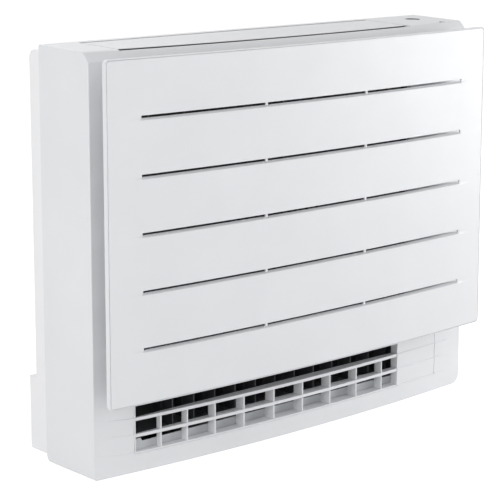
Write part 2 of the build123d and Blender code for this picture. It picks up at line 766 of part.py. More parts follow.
# ---------------------------------------------------------------- air filters
filter_back = guard_y - seat
filter_front = filter_back - filter_thickness
for name, left, right in (("air_filter_left", window_left + seat, fan_x - seat),
                          ("air_filter_right", fan_x + seat, window_right - seat)):
    with BuildPart() as air_filter:
        low = window_bottom + seat
        high = window_top - seat
        pane = (high - low - filter_frame) / filter_panes
        block((left, right), (filter_front, filter_back), (low, high))
        for row in range(filter_panes):
            z = low + filter_frame + row * pane
            block((left + filter_frame, right - filter_frame), (filter_front - 1, filter_back + 1),
                  (z, z + pane - filter_frame), Mode.SUBTRACT)
        block((left + 1, right - 1), around((filter_front + filter_back) / 2, filter_web / 2),
              (low + 1, high - 1))
        # finger tab
        block(around((left + right) / 2, 20), (filter_front - 4, filter_front + 1), (high - 5, high - 3))
    write(air_filter, name)

with BuildPart() as deodorising_filter:
    front = guard_y + guard_thickness + seat
    block(around(fan_x, 90), (front, coil_front - seat), (300.0, 400.0))
    with BuildSketch(Plane(origin=(fan_x, front, 350.0), x_dir=(1, 0, 0), z_dir=(0, -1, 0))) as cells:
        with GridLocations(17.0, 18.4, 10, 5):
            Rectangle(14.0, 15.4)
    extrude(amount=10, both=True, mode=Mode.SUBTRACT)
write(deodorising_filter, "deodorising_filter")

# ---------------------------------------------------------------- heat exchanger
pan_inside = pan_bottom + pan_floor
pan_front = guard_y + guard_thickness + seat
fin_gaps = int((coil_right - coil_left) / fin_pitch)
with BuildPart() as coil_fins:
    block((coil_left, coil_right), (coil_front, coil_back), (coil_bottom, coil_top))
    with BuildSketch(Plane(origin=((coil_left + coil_right) / 2, coil_front, (coil_bottom + coil_top) / 2),
                           x_dir=(1, 0, 0), z_dir=(0, -1, 0))) as gaps:
        with GridLocations(fin_pitch, 0, fin_gaps, 1):
            Rectangle(fin_pitch - fin_thickness, coil_top - coil_bottom + 2)
    extrude(amount=fin_spine - coil_depth, mode=Mode.SUBTRACT)
write(coil_fins, "coil_fins")

tube_columns = (coil_front + tube_inset, coil_back - tube_inset)
bend_count = int((coil_top - coil_bottom - bend_first) / bend_pitch) + 1
bend_z = [coil_bottom + bend_first + row * bend_pitch for row in range(bend_count)]
tab_y = (bellmouth_y - end_plate, bellmouth_y)
for name, left, away in (("coil_end_plate_left", coil_left - end_plate,
                          (coil_left - end_plate, coil_left - end_plate + 8)),
                         ("coil_end_plate_right", coil_right,
                          (coil_right + end_plate - 8, coil_right + end_plate))):
    with BuildPart() as coil_end_plate:
        plate_x = (left, left + end_plate)
        block(plate_x, (coil_front - 0.4, bellmouth_y), (pan_top + seat, coil_top + 4))
        block(plate_x, (coil_front - 0.4, bellmouth_y - pan_rim - seat), (pan_inside, pan_top + 1))
        # tabs that lie on the bellmouth plate
        block(away, tab_y, (coil_bottom + 20, coil_bottom + 40))
        block(away, tab_y, (coil_top - 40, coil_top - 20))
    write(coil_end_plate, name)

with BuildPart() as coil_return_bends:
    for side_x, arc in ((coil_left - end_plate, 180), (coil_right + end_plate, -180)):
        for column in tube_columns:
            for z in bend_z:
                with BuildPart(mode=Mode.PRIVATE) as bend:
                    with BuildSketch(Plane(origin=(side_x, column, z - bend_radius), x_dir=(0, 1, 0),
                                           z_dir=(1, 0, 0))):
                        Circle(tube_radius)
                    revolve(axis=Axis((side_x, column, z), (0, 1, 0)), revolution_arc=arc)
                add(bend.part)
write(coil_return_bends, "coil_return_bends")

drain_y = (pan_front + bellmouth_y) / 2
with BuildPart() as drain_pan:
    block((pan_left, pan_right), (pan_front, bellmouth_y), (pan_bottom, pan_top))
    block((pan_left + pan_rim, pan_right - pan_rim), (pan_front + pan_rim, bellmouth_y - pan_rim),
          (pan_inside, pan_top + 1), Mode.SUBTRACT)
    block((drain_x - drain_radius - pan_rim, pan_left + 1), around(drain_y, drain_radius + pan_rim),
          (pan_bottom, pan_top))
    block((drain_x - drain_radius, pan_left + 2 * pan_rim), around(drain_y, drain_radius),
          (pan_inside, pan_top + 1), Mode.SUBTRACT)
    rod((drain_x, drain_y, pan_bottom - 1), pan_floor + 2, "z", drain_bore, Mode.SUBTRACT)
write(drain_pan, "drain_pan")

with BuildPart() as drain_socket:
    rod((drain_x, drain_y, drain_end), pan_bottom - drain_end, "z", drain_radius)
    for ring in range(3):
        with Locations((drain_x, drain_y, drain_end + 3 + ring * 4)):
            Cone(drain_radius + 0.8, drain_radius, 3, align=(Align.CENTER, Align.CENTER, Align.MIN))
    rod((drain_x, drain_y, drain_end - 1), pan_bottom - drain_end + 2, "z", drain_bore, Mode.SUBTRACT)
write(drain_socket, "drain_socket")

# ---------------------------------------------------------------- fan
fan_axis = Axis((fan_x, 0, fan_z), (0, 1, 0))
fan_section = Plane(origin=(fan_x, 0, fan_z), x_dir=(1, 0, 0), z_dir=(0, 0, 1))
lip_y = bellmouth_y + bellmouth_thickness
with BuildPart() as bellmouth:
    block((chamber_left - chamber_wall, chamber_right + partition), (bellmouth_y, lip_y),
          (chamber_bottom, bellmouth_top))
    rod((fan_x, bellmouth_y - 1, fan_z), bellmouth_thickness + 2, "y", inlet_radius + 6, Mode.SUBTRACT)
    # rolled lip that leads the air into the fan
    with BuildSketch(fan_section) as mouth:
        with BuildLine():
            RadiusArc((inlet_radius + 6.5, bellmouth_y), (inlet_radius - 2, lip_y + 8), 10)
            Line((inlet_radius - 2, lip_y + 8), (inlet_radius + 0.5, lip_y + 8))
            RadiusArc((inlet_radius + 0.5, lip_y + 8), (inlet_radius + 6.5, lip_y), -7.5)
            Line((inlet_radius + 6.5, lip_y), (inlet_radius + 6.5, bellmouth_y))
        make_face()
    revolve(axis=fan_axis, revolution_arc=360)
write(bellmouth, "bellmouth")

shroud_throat = inlet_radius + 0.5 + inlet_gap
hub_y = shroud_y + 26.0
hub_bore = shaft_radius + 0.02
blade_front = shroud_y + 9.0
with BuildPart() as fan_impeller:
    with BuildSketch(fan_section) as back_plate:
        with BuildLine():
            Polyline((hub_bore, hub_y), (hub_radius, hub_y), (hub_radius, hub_y + 8), (24, hub_y + 11),
                     (54, fan_back - 6), (fan_radius, fan_back - fan_plate), (fan_radius, fan_back),
                     (53, fan_back - 2), (22, hub_y + 14), (hub_radius, hub_y + 16), (hub_radius, hub_y + 22),
                     (hub_bore, hub_y + 22), close=True)
        make_face()
    revolve(axis=fan_axis, revolution_arc=360)
    with BuildSketch(fan_section) as shroud:
        with BuildLine():
            Polyline((shroud_throat, shroud_y), (shroud_throat + 2, shroud_y),
                     (shroud_throat + 6, shroud_y + 10),
                     (fan_radius, shroud_y + 26), (fan_radius, shroud_y + 28),
                     (shroud_throat + 4, shroud_y + 12.5),
                     close=True)
        make_face()
    revolve(axis=fan_axis, revolution_arc=360)
    with BuildPart(mode=Mode.PRIVATE) as blades:
        tip_x = fan_radius * 0.88
        tip_z = fan_radius * 0.44
        with BuildSketch(Plane(origin=(fan_x, shroud_y + 4, fan_z), x_dir=(1, 0, 0), z_dir=(0, -1, 0))):
            with PolarLocations(0, blade_count):
                with BuildLine():
                    inner = RadiusArc((blade_inner_radius, 0), (tip_x, tip_z), -blade_curve)
                    outer = RadiusArc((blade_inner_radius + blade_thickness, -blade_thickness / 2),
                                      (tip_x + blade_thickness / 2, tip_z - blade_thickness), -blade_curve)
                    Line(inner @ 0, outer @ 0)
                    Line(inner @ 1, outer @ 1)
                make_face()
        extrude(amount=shroud_y + 5 - fan_back)
        # the blades' front edges follow the shroud
        with BuildSketch(fan_section) as ahead:
            with BuildLine():
                Polyline((0, -depth), (fan_radius + 20, -depth), (fan_radius + 20, shroud_y + 29),
                         (fan_radius, shroud_y + 27), (shroud_throat + 5, shroud_y + 11.5),
                         (shroud_throat - 2, blade_front), (0, blade_front), close=True)
            make_face()
        revolve(axis=fan_axis, revolution_arc=360, mode=Mode.SUBTRACT)
    add(blades.part)
write(fan_impeller, "fan_impeller")

with BuildPart() as fan_shaft:
    rod((fan_x, hub_y - 2, fan_z), fan_motor_back - hub_y, "y", shaft_radius)
    chamfer(fan_shaft.edges().filter_by(GeomType.CIRCLE).sort_by(Axis.Y)[0], 0.6)
write(fan_shaft, "fan_shaft")

with BuildPart() as fan_motor:
    rod((fan_x, fan_motor_front, fan_z), fan_motor_back - fan_motor_front, "y", fan_motor_radius)
    fillet(fan_motor.edges().filter_by(GeomType.CIRCLE).sort_by(Axis.Y)[0], 5.0)
    rod((fan_x, fan_motor_front - 6, fan_z), 8, "y", 13.0)
    rod((fan_x, fan_motor_front - 10, fan_z), fan_motor_back - fan_motor_front + 8.5, "y",
        shaft_radius + fine_pin_gap, Mode.SUBTRACT)
    block(around(fan_x, 12), (fan_motor_back - 14, fan_motor_back),
          (fan_z - fan_motor_radius - 8, fan_z - 30))
write(fan_motor, "fan_motor")

with BuildPart() as motor_bracket:
    with BuildSketch(Plane(origin=(fan_x, fan_motor_back, fan_z), x_dir=(1, 0, 0),
                           z_dir=(0, -1, 0))) as plate:
        RectangleRounded(bracket_size, bracket_size, bracket_hole_inset)
        Circle(20, mode=Mode.SUBTRACT)
        with PolarLocations(bracket_size / 2 - 8, 4):
            Circle(17, mode=Mode.SUBTRACT)
        with GridLocations(2 * boss_place, 2 * boss_place, 2, 2):
            Circle(screw_radius + 0.2, mode=Mode.SUBTRACT)
    extrude(amount=-bracket_thickness)
write(motor_bracket, "motor_bracket")

# ---------------------------------------------------------------- lower duct, its vanes and the damper
diagonal = sin(radians(45))
duct_under = duct_floor_z - duct_wall
duct_ends = (duct_left - duct_wall, duct_right)
with BuildPart() as lower_duct:
    # the floor: flat under the vanes, then a sweep up to the fan
    with BuildSketch(Plane.YZ.offset(duct_left - duct_wall)) as floor_line:
        with BuildLine():
            Polyline((arc_y, duct_under), (sill_back, duct_under), (sill_back, duct_floor_z),
                     (arc_y, duct_floor_z))
            ThreePointArc((arc_y, duct_floor_z),
                          (arc_y + arc_radius * diagonal, duct_arc_z - arc_radius * diagonal),
                          (duct_back, duct_arc_z))
            Line((duct_back, duct_arc_z), (duct_back + duct_wall, duct_arc_z))
            outer_radius = arc_radius + duct_wall
            ThreePointArc((duct_back + duct_wall, duct_arc_z),
                          (arc_y + outer_radius * diagonal, duct_arc_z - outer_radius * diagonal),
                          (arc_y, duct_under))
        make_face()
    extrude(amount=duct_right - duct_left + 2 * duct_wall)
    # the ends, which stop short of the sweep's outside, and the ceiling
    end_points = ((sill_back, duct_under), (duct_front, duct_under), (duct_front, duct_ceiling_z + duct_wall),
                  (lip_y + seat, duct_ceiling_z + duct_wall), (lip_y + seat, duct_side_top),
                  (arc_y + 94, duct_side_top), (arc_y + 94, duct_floor_z + 45),
                  (arc_y + 75, duct_floor_z + 28),
                  (arc_y + 49, duct_floor_z + 10), (arc_y + 19, duct_under))
    for x in duct_ends:
        extrude(side_profile(end_points, x), amount=duct_wall)
    block((duct_left - duct_wall, duct_right + duct_wall), (duct_front, bellmouth_y - seat),
          (duct_ceiling_z, duct_ceiling_z + duct_wall))
    # strip that closes the chamber's floor beside the duct
    block((chamber_left, duct_left - duct_wall + 0.5), (lip_y + seat, duct_back - 7),
          (chamber_bottom, chamber_bottom + 2))
    # legs that stand on the frame's base
    for x in evenly(duct_left + 113.5, duct_right - 110, 3):
        block(around(x, 1.5), (base_front + 1, base_front + 39), (base_thickness, duct_under + 1))
    for x in vane_x:
        rod((x, vane_y, duct_under - 10), duct_ceiling_z - duct_under + 20, "z",
            vane_pin_radius + fine_pin_gap,
            Mode.SUBTRACT)
    rod((duct_left - 10, damper_y, damper_z), duct_right - duct_left + 20, "x",
        damper_shaft_radius + fine_pin_gap, Mode.SUBTRACT)
write(lower_duct, "lower_duct")

sill_front = grille_back + seat
sill_top = duct_floor_z - 1.0
sill_x = (outlet_left + 3.0, outlet_open_right + 22.0)
ramp_back = grille_back + 14.0
with BuildPart() as outlet_sill:
    # light strip behind the grille that the lower row of openings looks onto, sloping up to the back
    block(sill_x, (sill_front, sill_back - 0.5), (sill_z + 2, sill_top))
    ramp = side_profile(((sill_front - 1, sill_z + 3.5), (ramp_back, sill_top), (ramp_back, duct_floor_z + 3),
                         (sill_front - 1, duct_floor_z + 3)), outlet_left)
    extrude(ramp, amount=width, mode=Mode.SUBTRACT)
    # notch at the left end, the hollow under the back edge, and legs that stand on the casing's floor
    block((sill_x[0] + 15, sill_x[0] + 27), (sill_front - 1, sill_back + 6),
          (duct_floor_z - 5.5, duct_floor_z),
          Mode.SUBTRACT)
    block((sill_x[0] - 1, sill_x[1] + 1), (ramp_back + 1, sill_back), (sill_z, duct_under - 0.7),
          Mode.SUBTRACT)
    for x in evenly(sill_x[0] + 27, sill_x[1] - 35, 4):
        block(around(x, 1.5), (sill_front + 3, grille_back + 16), (wall + seat, sill_z + 4))
write(outlet_sill, "outlet_sill")

vane_middle = (vane_bottom + vane_top) / 2
link_y = vane_y + link_offset
notch_front = link_y - link_notch
for k, x in enumerate(vane_x):
    with BuildPart() as vane:
        with BuildSketch(Plane.YZ.offset(x - vane_thickness / 2)) as blade:
            with Locations(((vane_front + vane_back) / 2, vane_middle)):
                RectangleRounded(vane_back - vane_front, vane_top - vane_bottom, 3)
            with Locations(((notch_front + vane_back + 1) / 2, vane_middle)):
                Rectangle(vane_back + 1 - notch_front, link_notch_height, mode=Mode.SUBTRACT)
        extrude(amount=vane_thickness)
        rod((x, vane_y, duct_under), duct_ceiling_z + duct_wall - duct_under, "z", vane_pin_radius)
        rod((x, link_y, vane_middle - link_notch_height / 2 - 1), link_notch_height + 2, "z", link_pin_radius)
    write(vane, f"lower_vane_{k + 1:02d}")

with BuildPart() as lower_tie_bar:
    block((vane_first - 5, vane_last + 5), around(link_y, link_half), around(vane_middle, link_thickness / 2))
    for x in vane_x:
        rod((x, link_y, vane_middle - link_thickness), 2 * link_thickness, "z", link_pin_radius + pin_gap,
            Mode.SUBTRACT)
write(lower_tie_bar, "lower_tie_bar")

with BuildPart() as lower_damper:
    with BuildSketch(Plane.YZ.offset(duct_left + damper_end_gap)) as section:
        with Locations((damper_y, damper_z)):
            RectangleRounded(damper_thickness, 2 * damper_half, damper_thickness * 0.45)
    extrude(amount=duct_right - duct_left - 2 * damper_end_gap)
    rod((duct_left - duct_wall, damper_y, damper_z), duct_right - duct_left + 2 * duct_wall, "x",
        damper_shaft_radius)
write(lower_damper, "lower_damper")
stepper("damper_motor", duct_right + duct_wall + seat, damper_y, damper_z)

# ---------------------------------------------------------------- upper duct and its vanes
upper_left = chamber_left + seat
upper_right = chamber_right - seat
throat_front = lip_y + seat
throat_back = frame_inside - seat
knee = upper_vane_z + 15.0
mouth_top = throat_top + 12.0


def throat_back_at(z):
    """Inner face of the upper duct's back wall."""
    share = (z - throat_low) / (throat_top - throat_low)
    return throat_back - duct_wall + share * (mouth_back - throat_back)


with BuildPart() as upper_duct:
    front_wall = side_profile(((throat_front, throat_low), (throat_front, knee), (mouth_front, mouth_top),
                               (mouth_front + duct_wall, mouth_top), (throat_front + duct_wall, knee - 1),
                               (throat_front + duct_wall, throat_low)), upper_left)
    extrude(front_wall, amount=upper_right - upper_left)
    back_wall = side_profile(((throat_back, throat_low), (mouth_back, throat_top),
                              (mouth_back - duct_wall, throat_top),
                              (throat_back - duct_wall, throat_low)), upper_left)
    extrude(back_wall, amount=upper_right - upper_left)
    for x in (upper_left, upper_right - duct_wall):
        end_wall = side_profile(((throat_front, throat_low), (throat_front, knee),
                                 (mouth_front + 26, throat_top - 5),
                                 (mouth_back - 1, throat_top - 5), (mouth_back - 1, throat_top),
                                 (throat_back - 0.5, throat_low)), x)
        extrude(end_wall, amount=duct_wall)
    for x in upper_vane_x:
        rod((x, throat_front - 5, upper_vane_z), throat_back - throat_front + 10, "y",
            vane_pin_radius + fine_pin_gap, Mode.SUBTRACT)
write(upper_duct, "upper_duct")

upper_low = upper_vane_z - upper_vane_below
upper_high = upper_vane_z + upper_vane_above
upper_link_z = upper_vane_z - upper_link_drop
blade_front_y = throat_front + duct_wall + upper_vane_margin
back_pin_y = throat_back_at(upper_vane_z) - upper_vane_margin - 3
for k, x in enumerate(upper_vane_x):
    with BuildPart() as vane:
        vane_outline = ((blade_front_y, upper_low), (throat_back_at(upper_low) - upper_vane_margin,
                                                     upper_low),
                        (throat_back_at(upper_high) - upper_vane_margin, upper_high),
                        (blade_front_y, upper_high))
        extrude(side_profile(vane_outline, x - upper_vane_thickness / 2), amount=upper_vane_thickness)
        fillet(vane.edges().filter_by(Axis.X), 2.5)
        block(around(x, 5), around(upper_link_y, 3.5), (upper_low - 1, upper_link_z + 5), Mode.SUBTRACT)
        rod((x, throat_front, upper_vane_z), upper_vane_margin + duct_wall + 1, "y", vane_pin_radius)
        rod((x, back_pin_y, upper_vane_z), upper_vane_margin + duct_wall + 3, "y", vane_pin_radius)
        rod((x, upper_link_y - 4.5, upper_link_z), 9, "y", link_pin_radius)
    write(vane, f"upper_vane_{k + 1:02d}")

with BuildPart() as upper_tie_bar:
    block((upper_vane_first - 5, upper_vane_last + 5), around(upper_link_y, 1.2),
          around(upper_link_z, link_half))
    for x in upper_vane_x:
        rod((x, upper_link_y - 2, upper_link_z), 4, "y", link_pin_radius + pin_gap, Mode.SUBTRACT)
write(upper_tie_bar, "upper_tie_bar")


# ---------------------------------------------------------------- pipes
def pipe(name, radius, points, bend):
    """A copper pipe along straight runs with round bends."""
    with BuildPart() as copper:
        with BuildLine() as route:
            FilletPolyline(*points, radius=bend)
        with BuildSketch(Plane(origin=route.line @ 0, z_dir=route.line % 0)):
            Circle(radius)
        sweep()
    write(copper, name)


pipe_start = bend_z[0] + bend_pitch / 2
for name, radius, column, drop_x, run_z, nut_x, bend in (
        ("gas_pipe", gas_pipe_radius, tube_columns[0], coil_right + 26, pan_bottom - 8, gas_nut_x, 14.0),
        ("liquid_pipe", liquid_pipe_radius, tube_columns[1], coil_right + 34, pan_bottom + 6, liquid_nut_x,
         10.0)):
    pipe(name, radius, ((coil_right + end_plate, column, pipe_start), (drop_x, column, pipe_start),
                        (drop_x, column, run_z), (nut_x, column, run_z), (nut_x, column, nut_z),
                        (nut_x, nut_y, nut_z)), bend)
with BuildPart() as flare_nuts:
    for nut_x, corner, radius in ((gas_nut_x, 12.7, gas_pipe_radius),
                                  (liquid_nut_x, 9.8, liquid_pipe_radius)):
        with BuildSketch(Plane(origin=(nut_x, nut_y - 12, nut_z), x_dir=(1, 0, 0), z_dir=(0, -1, 0))):
            RegularPolygon(corner, 6)
            Circle(radius + fine_pin_gap, mode=Mode.SUBTRACT)
        extrude(amount=-nut_length)
write(flare_nuts, "flare_nuts")

# ---------------------------------------------------------------- electrical box
with BuildPart() as electrical_box:
    block((box_left, box_right), (box_front, box_back), (box_low, box_high))
    block((box_left + sheet, box_right - sheet), (box_front - 1, box_back - sheet),
          (box_low + sheet, box_high - sheet),
          Mode.SUBTRACT)
    for x in (box_left + 12, box_right - 12):
        for z in (box_low + 75, box_high - 25):
            rod((x, board_y + board_thickness, z), box_back - sheet - board_y - board_thickness + 0.5, "y", 3)
    # cable hole
    block((box_left + 30, box_left + 50), (box_back - 20, box_back - 8), (box_low - 1, box_low + 2),
          Mode.SUBTRACT)
write(electrical_box, "electrical_box")

with BuildPart() as electrical_box_cover:
    block((box_left, box_right), (box_front - sheet, box_front), (box_low, box_high))
    block((box_left + 2 * sheet, box_right - 2 * sheet), (box_front, box_front + 5),
          (box_low + 2 * sheet, box_high - 2 * sheet))
    block((box_left + 3 * sheet, box_right - 3 * sheet), (box_front - 0.01, box_front + 6),
          (box_low + 3 * sheet, box_high - 3 * sheet), Mode.SUBTRACT)
    for x in (box_left + 8, box_right - 8):
        rod((x, box_front - 3, box_high - 8), 6, "y", screw_radius, Mode.SUBTRACT)
write(electrical_box_cover, "electrical_box_cover")

with BuildPart() as control_board:
    block((box_left + 5, box_right - 5), (board_y, board_y + board_thickness), (box_low + 60, box_high - 10))
    # capacitors, standing off the board: place from the box's corner, radius and height
    for dx, dz, radius, tall in ((22, 235, 9, 28), (44, 235, 9, 28), (20, 200, 6, 16), (36, 200, 6, 16)):
        rod((box_left + dx, board_y - tall, box_low + dz), tall + 0.5, "y", radius)
    # transformer, relays and connectors: place, half sizes and height
    for dx, dz, half_x, half_z, tall in ((52, 170, 16, 14, 24), (20, 160, 10, 8, 12), (42, 120, 9, 9, 4),
                                         (17, 90, 8, 5, 9), (52, 85, 14, 5, 9), (70, 240, 4, 16, 18)):
        block(around(box_left + dx, half_x), (board_y - tall, board_y + 0.5), around(box_low + dz, half_z))
write(control_board, "control_board")

with BuildPart() as terminal_block:
    block((box_left + 14, box_left + 72), (box_back - 32, box_back - sheet), (box_low + 12, box_low + 42))
    for k in range(4):
        x = box_left + 22 + k * 14
        block(around(x, 6), (box_back - 33, box_back - 24), (box_low + 15, box_low + 39), Mode.SUBTRACT)
        rod((x, box_back - 27, box_low + 27), 4, "y", 3.5)
write(terminal_block, "terminal_block")
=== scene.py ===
# %% [markdown]
# # A low console air conditioner
#
# The unit stands on the floor against a wall. Its front is one wide panel, gently bowed, with five
# air slots. A white casing stands behind it, with a flap on top and a ribbed outlet near the floor.
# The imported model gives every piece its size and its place. This lesson gives the pieces their
# surfaces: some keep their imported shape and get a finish, and the ones that show most are made
# again as Blender meshes, from the same sizes.

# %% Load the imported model
import json
from math import cos, pi, radians, sin

import bmesh
import bpy
from mathutils import Euler, Matrix, Vector


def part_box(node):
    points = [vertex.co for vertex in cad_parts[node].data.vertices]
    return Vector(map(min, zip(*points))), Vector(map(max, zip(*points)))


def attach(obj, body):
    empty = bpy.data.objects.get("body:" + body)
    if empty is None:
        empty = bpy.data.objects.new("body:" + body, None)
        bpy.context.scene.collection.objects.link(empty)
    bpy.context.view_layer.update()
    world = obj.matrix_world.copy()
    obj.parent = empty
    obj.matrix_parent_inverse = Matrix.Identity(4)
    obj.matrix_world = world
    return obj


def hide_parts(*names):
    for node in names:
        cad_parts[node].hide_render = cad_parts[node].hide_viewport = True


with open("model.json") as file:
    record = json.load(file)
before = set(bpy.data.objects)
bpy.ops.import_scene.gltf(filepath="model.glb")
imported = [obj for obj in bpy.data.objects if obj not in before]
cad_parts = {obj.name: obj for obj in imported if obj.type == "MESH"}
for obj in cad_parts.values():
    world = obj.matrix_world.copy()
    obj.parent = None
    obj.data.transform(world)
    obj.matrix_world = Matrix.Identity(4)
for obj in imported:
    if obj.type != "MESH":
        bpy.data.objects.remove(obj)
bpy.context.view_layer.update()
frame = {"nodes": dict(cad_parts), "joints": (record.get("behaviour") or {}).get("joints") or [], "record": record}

nodes = frame["nodes"]
slot_of = {part["node"]: part["material_slot"] for part in frame["record"]["subparts"]}
scene = bpy.context.scene
MM = 0.001
TINY = 1e-6

# %% [markdown]
# ## Camera
#
# A product photograph of a box is easiest to match by fitting a pinhole camera to the box's known
# corners. The camera stands to the left of the unit, a little above it, with a long lens, which
# keeps the uprights nearly parallel. A small vertical shift does what a photographer's shift lens
# does: it moves the frame down without tilting the camera further.

# %% Camera
camera_place = (-1.8248, -2.0273, 0.8473)
camera_turn = radians(-41.617)      # about the vertical, from looking along +Y
camera_pitch = radians(-10.230)
camera_lens = 130.76
camera_shift = -0.119


def add_camera():
    """A camera at the photograph's viewing angle."""
    data = bpy.data.cameras.new("photo_camera")
    data.sensor_width = 36.0
    data.lens = camera_lens
    data.shift_y = camera_shift
    data.clip_end = 50.0
    camera = bpy.data.objects.new("photo_camera", data)
    camera.location = camera_place
    camera.rotation_euler = Euler((pi / 2 + camera_pitch, 0, camera_turn), "XYZ")
    scene.collection.objects.link(camera)
    scene.camera = camera


add_camera()
print("camera lens", camera_lens, "mm, shift", camera_shift)

# %% [markdown]
# ## Node trees
#
# Materials, the world's light and the rules that make meshes are all trees of nodes. Written out in
# full, each node takes several lines. Four helpers keep the trees below short: one fills a socket
# with a value or a link, one makes a node, one writes a single calculation, and one tells which kind
# of light ray is asking, so that the camera can see a thing differently from how it lights the rest.

# %% Node helpers
def feed(tree, socket, value):
    """Fills a socket: with a link if the value is another node's result, else with the value."""
    if isinstance(value, bpy.types.NodeSocket):
        tree.links.new(value, socket)
    else:
        socket.default_value = value


def node(tree, kind, settings=None, **inputs):
    """A node with its settings, and the values or links of its inputs by name."""
    made = tree.nodes.new(kind)
    for key, value in (settings or {}).items():
        setattr(made, key, value)
    for label, value in inputs.items():
        feed(tree, made.inputs[label.replace("_", " ")], value)
    return made


def calc(tree, operation, *values):
    """One calculation, of numbers or other nodes' results."""
    made = tree.nodes.new("ShaderNodeMath")
    made.operation = operation
    for socket, value in zip(made.inputs, values):
        feed(tree, socket, value)
    return made.outputs[0]


def ray_is(tree, *kinds):
    """1 for light rays of the given kinds, and 0 for the others."""
    path = tree.nodes.new("ShaderNodeLightPath")
    result = path.outputs[kinds[0]]
    for kind in kinds[1:]:
        result = calc(tree, "MAXIMUM", result, path.outputs[kind])
    return result


# %% [markdown]
# ## Studio
#
# The unit is photographed on white. The floor is a pale sheet that catches a soft shadow: what the
# camera sees of it gets a little glow on top, so that the lit sheet turns white and only the shadow
# stays grey. The world is plain white to the camera but weaker as a light, so that the casing isn't
# washed out, and it fills the shade evenly. A strong lamp low on the right grazes the front, which
# makes the bow show as a slow change from grey on the left to white on the right. Three weaker
# lamps light the left side, the front and top from above, and the back.

# %% Floor and world
floor_half = 30.0           # metres from the middle to an edge
floor_drop = 0.5 * MM       # the floor lies a hair below the feet
floor_colour = (0.94, 0.94, 0.94, 1)
floor_glow = 0.66
world_colour = (0.985, 0.992, 1.0, 1)
world_fill = 0.435
white = (1, 1, 1, 1)


def add_floor():
    """A pale floor, white where no shadow falls on it."""
    mesh = bpy.data.meshes.new("studio_floor")
    corners = [(-floor_half, -floor_half, 0), (floor_half, -floor_half, 0),
               (floor_half, floor_half, 0), (-floor_half, floor_half, 0)]
    mesh.from_pydata(corners, [], [(0, 1, 2, 3)])
    floor = bpy.data.objects.new("studio_floor", mesh)
    floor.location.z = -floor_drop
    scene.collection.objects.link(floor)
    material = bpy.data.materials.new("studio_floor")
    material.use_nodes = True
    tree = material.node_tree
    tree.nodes.clear()
    sheet = node(tree, "ShaderNodeBsdfDiffuse", Color=floor_colour)
    seen = ray_is(tree, "Is Camera Ray", "Is Glossy Ray")
    glow = node(tree, "ShaderNodeEmission", Color=white, Strength=calc(tree, "MULTIPLY", seen, floor_glow))
    both = tree.nodes.new("ShaderNodeAddShader")
    tree.links.new(sheet.outputs[0], both.inputs[0])
    tree.links.new(glow.outputs[0], both.inputs[1])
    node(tree, "ShaderNodeOutputMaterial", Surface=both.outputs[0])
    mesh.materials.append(material)


def set_world():
    """White to the camera and in reflections, a weak pale fill as a light."""
    world = bpy.data.worlds.new("studio")
    scene.world = world
    world.use_nodes = True
    tree = world.node_tree
    tree.nodes.clear()
    fill = node(tree, "ShaderNodeBackground", Color=world_colour, Strength=world_fill)
    plain = node(tree, "ShaderNodeBackground", Color=white)
    seen = ray_is(tree, "Is Camera Ray", "Is Glossy Ray", "Is Transmission Ray")
    mix = node(tree, "ShaderNodeMixShader", Fac=seen)
    tree.links.new(fill.outputs[0], mix.inputs[1])
    tree.links.new(plain.outputs[0], mix.inputs[2])
    node(tree, "ShaderNodeOutputWorld", Surface=mix.outputs[0])


add_floor()
set_world()
scene.view_settings.view_transform = "Standard"
print("floor glow", floor_glow, " world fill", world_fill)

# %% Lamps
lamps = {
    # name: (place, aimed at, width, height, watts)
    "right_softbox": ((3.2, -1.6, 0.6), (0.1, -0.1, 0.3), 1.8, 1.0, 61.0),
    "left_softbox": ((-2.1, -0.75, 0.9), (-0.3, 0.0, 0.3), 1.4, 1.6, 16.0),
    "front_softbox": ((0.6, -1.7, 2.6), (0.1, -0.1, 0.4), 2.4, 1.4, 7.0),
    "back_softbox": ((0.2, 1.8, 2.0), (0.0, 0.0, 0.5), 2.4, 1.2, 16.0),
}


def add_lamp(name, place, target, width, height, watts):
    """A soft rectangular lamp aimed at a point."""
    data = bpy.data.lights.new(name, "AREA")
    data.shape = "RECTANGLE"
    data.size = width
    data.size_y = height
    data.energy = watts
    lamp = bpy.data.objects.new(name, data)
    lamp.location = place
    lamp.rotation_euler = (Vector(target) - Vector(place)).to_track_quat("-Z", "Y").to_euler()
    scene.collection.objects.link(lamp)


for name, setting in lamps.items():
    add_lamp(name, *setting)
print("lamps:", ", ".join(lamps))

# %% [markdown]
# ## Finishes
#
# The casing is moulded plastic: white, satin, with a very fine grain from the mould. A flat colour
# would look like paper, so each finish mixes two close tones over large soft patches, lets the
# roughness wander a little and adds a fine bump. All of it reads Object coordinates, so a pattern
# stays on its piece when the piece moves.

# %% Finish helpers
def display(red, green, blue):
    """A colour given as it looks on a display (0 to 255), as the linear colour that a shader wants."""
    def straighten(value):
        value /= 255
        return value / 12.92 if value <= 0.04045 else ((value + 0.055) / 1.055) ** 2.4
    return (straighten(red), straighten(green), straighten(blue), 1.0)


def new_finish(name):
    """A material with a Principled shader, and the tree and shader to build on."""
    material = bpy.data.materials.new(name)
    material.use_nodes = True
    tree = material.node_tree
    shader = tree.nodes["Principled BSDF"]
    return material, tree, shader


def object_noise(tree, scale, detail=3.0, stretch=(1, 1, 1)):
    """Noise over the piece's own coordinates, at a scale in patches per metre."""
    place = tree.nodes.new("ShaderNodeTexCoord")
    mapping = node(tree, "ShaderNodeMapping", Vector=place.outputs["Object"], Scale=stretch)
    return node(tree, "ShaderNodeTexNoise", Vector=mapping.outputs["Vector"], Scale=scale,
                Detail=detail).outputs["Fac"]


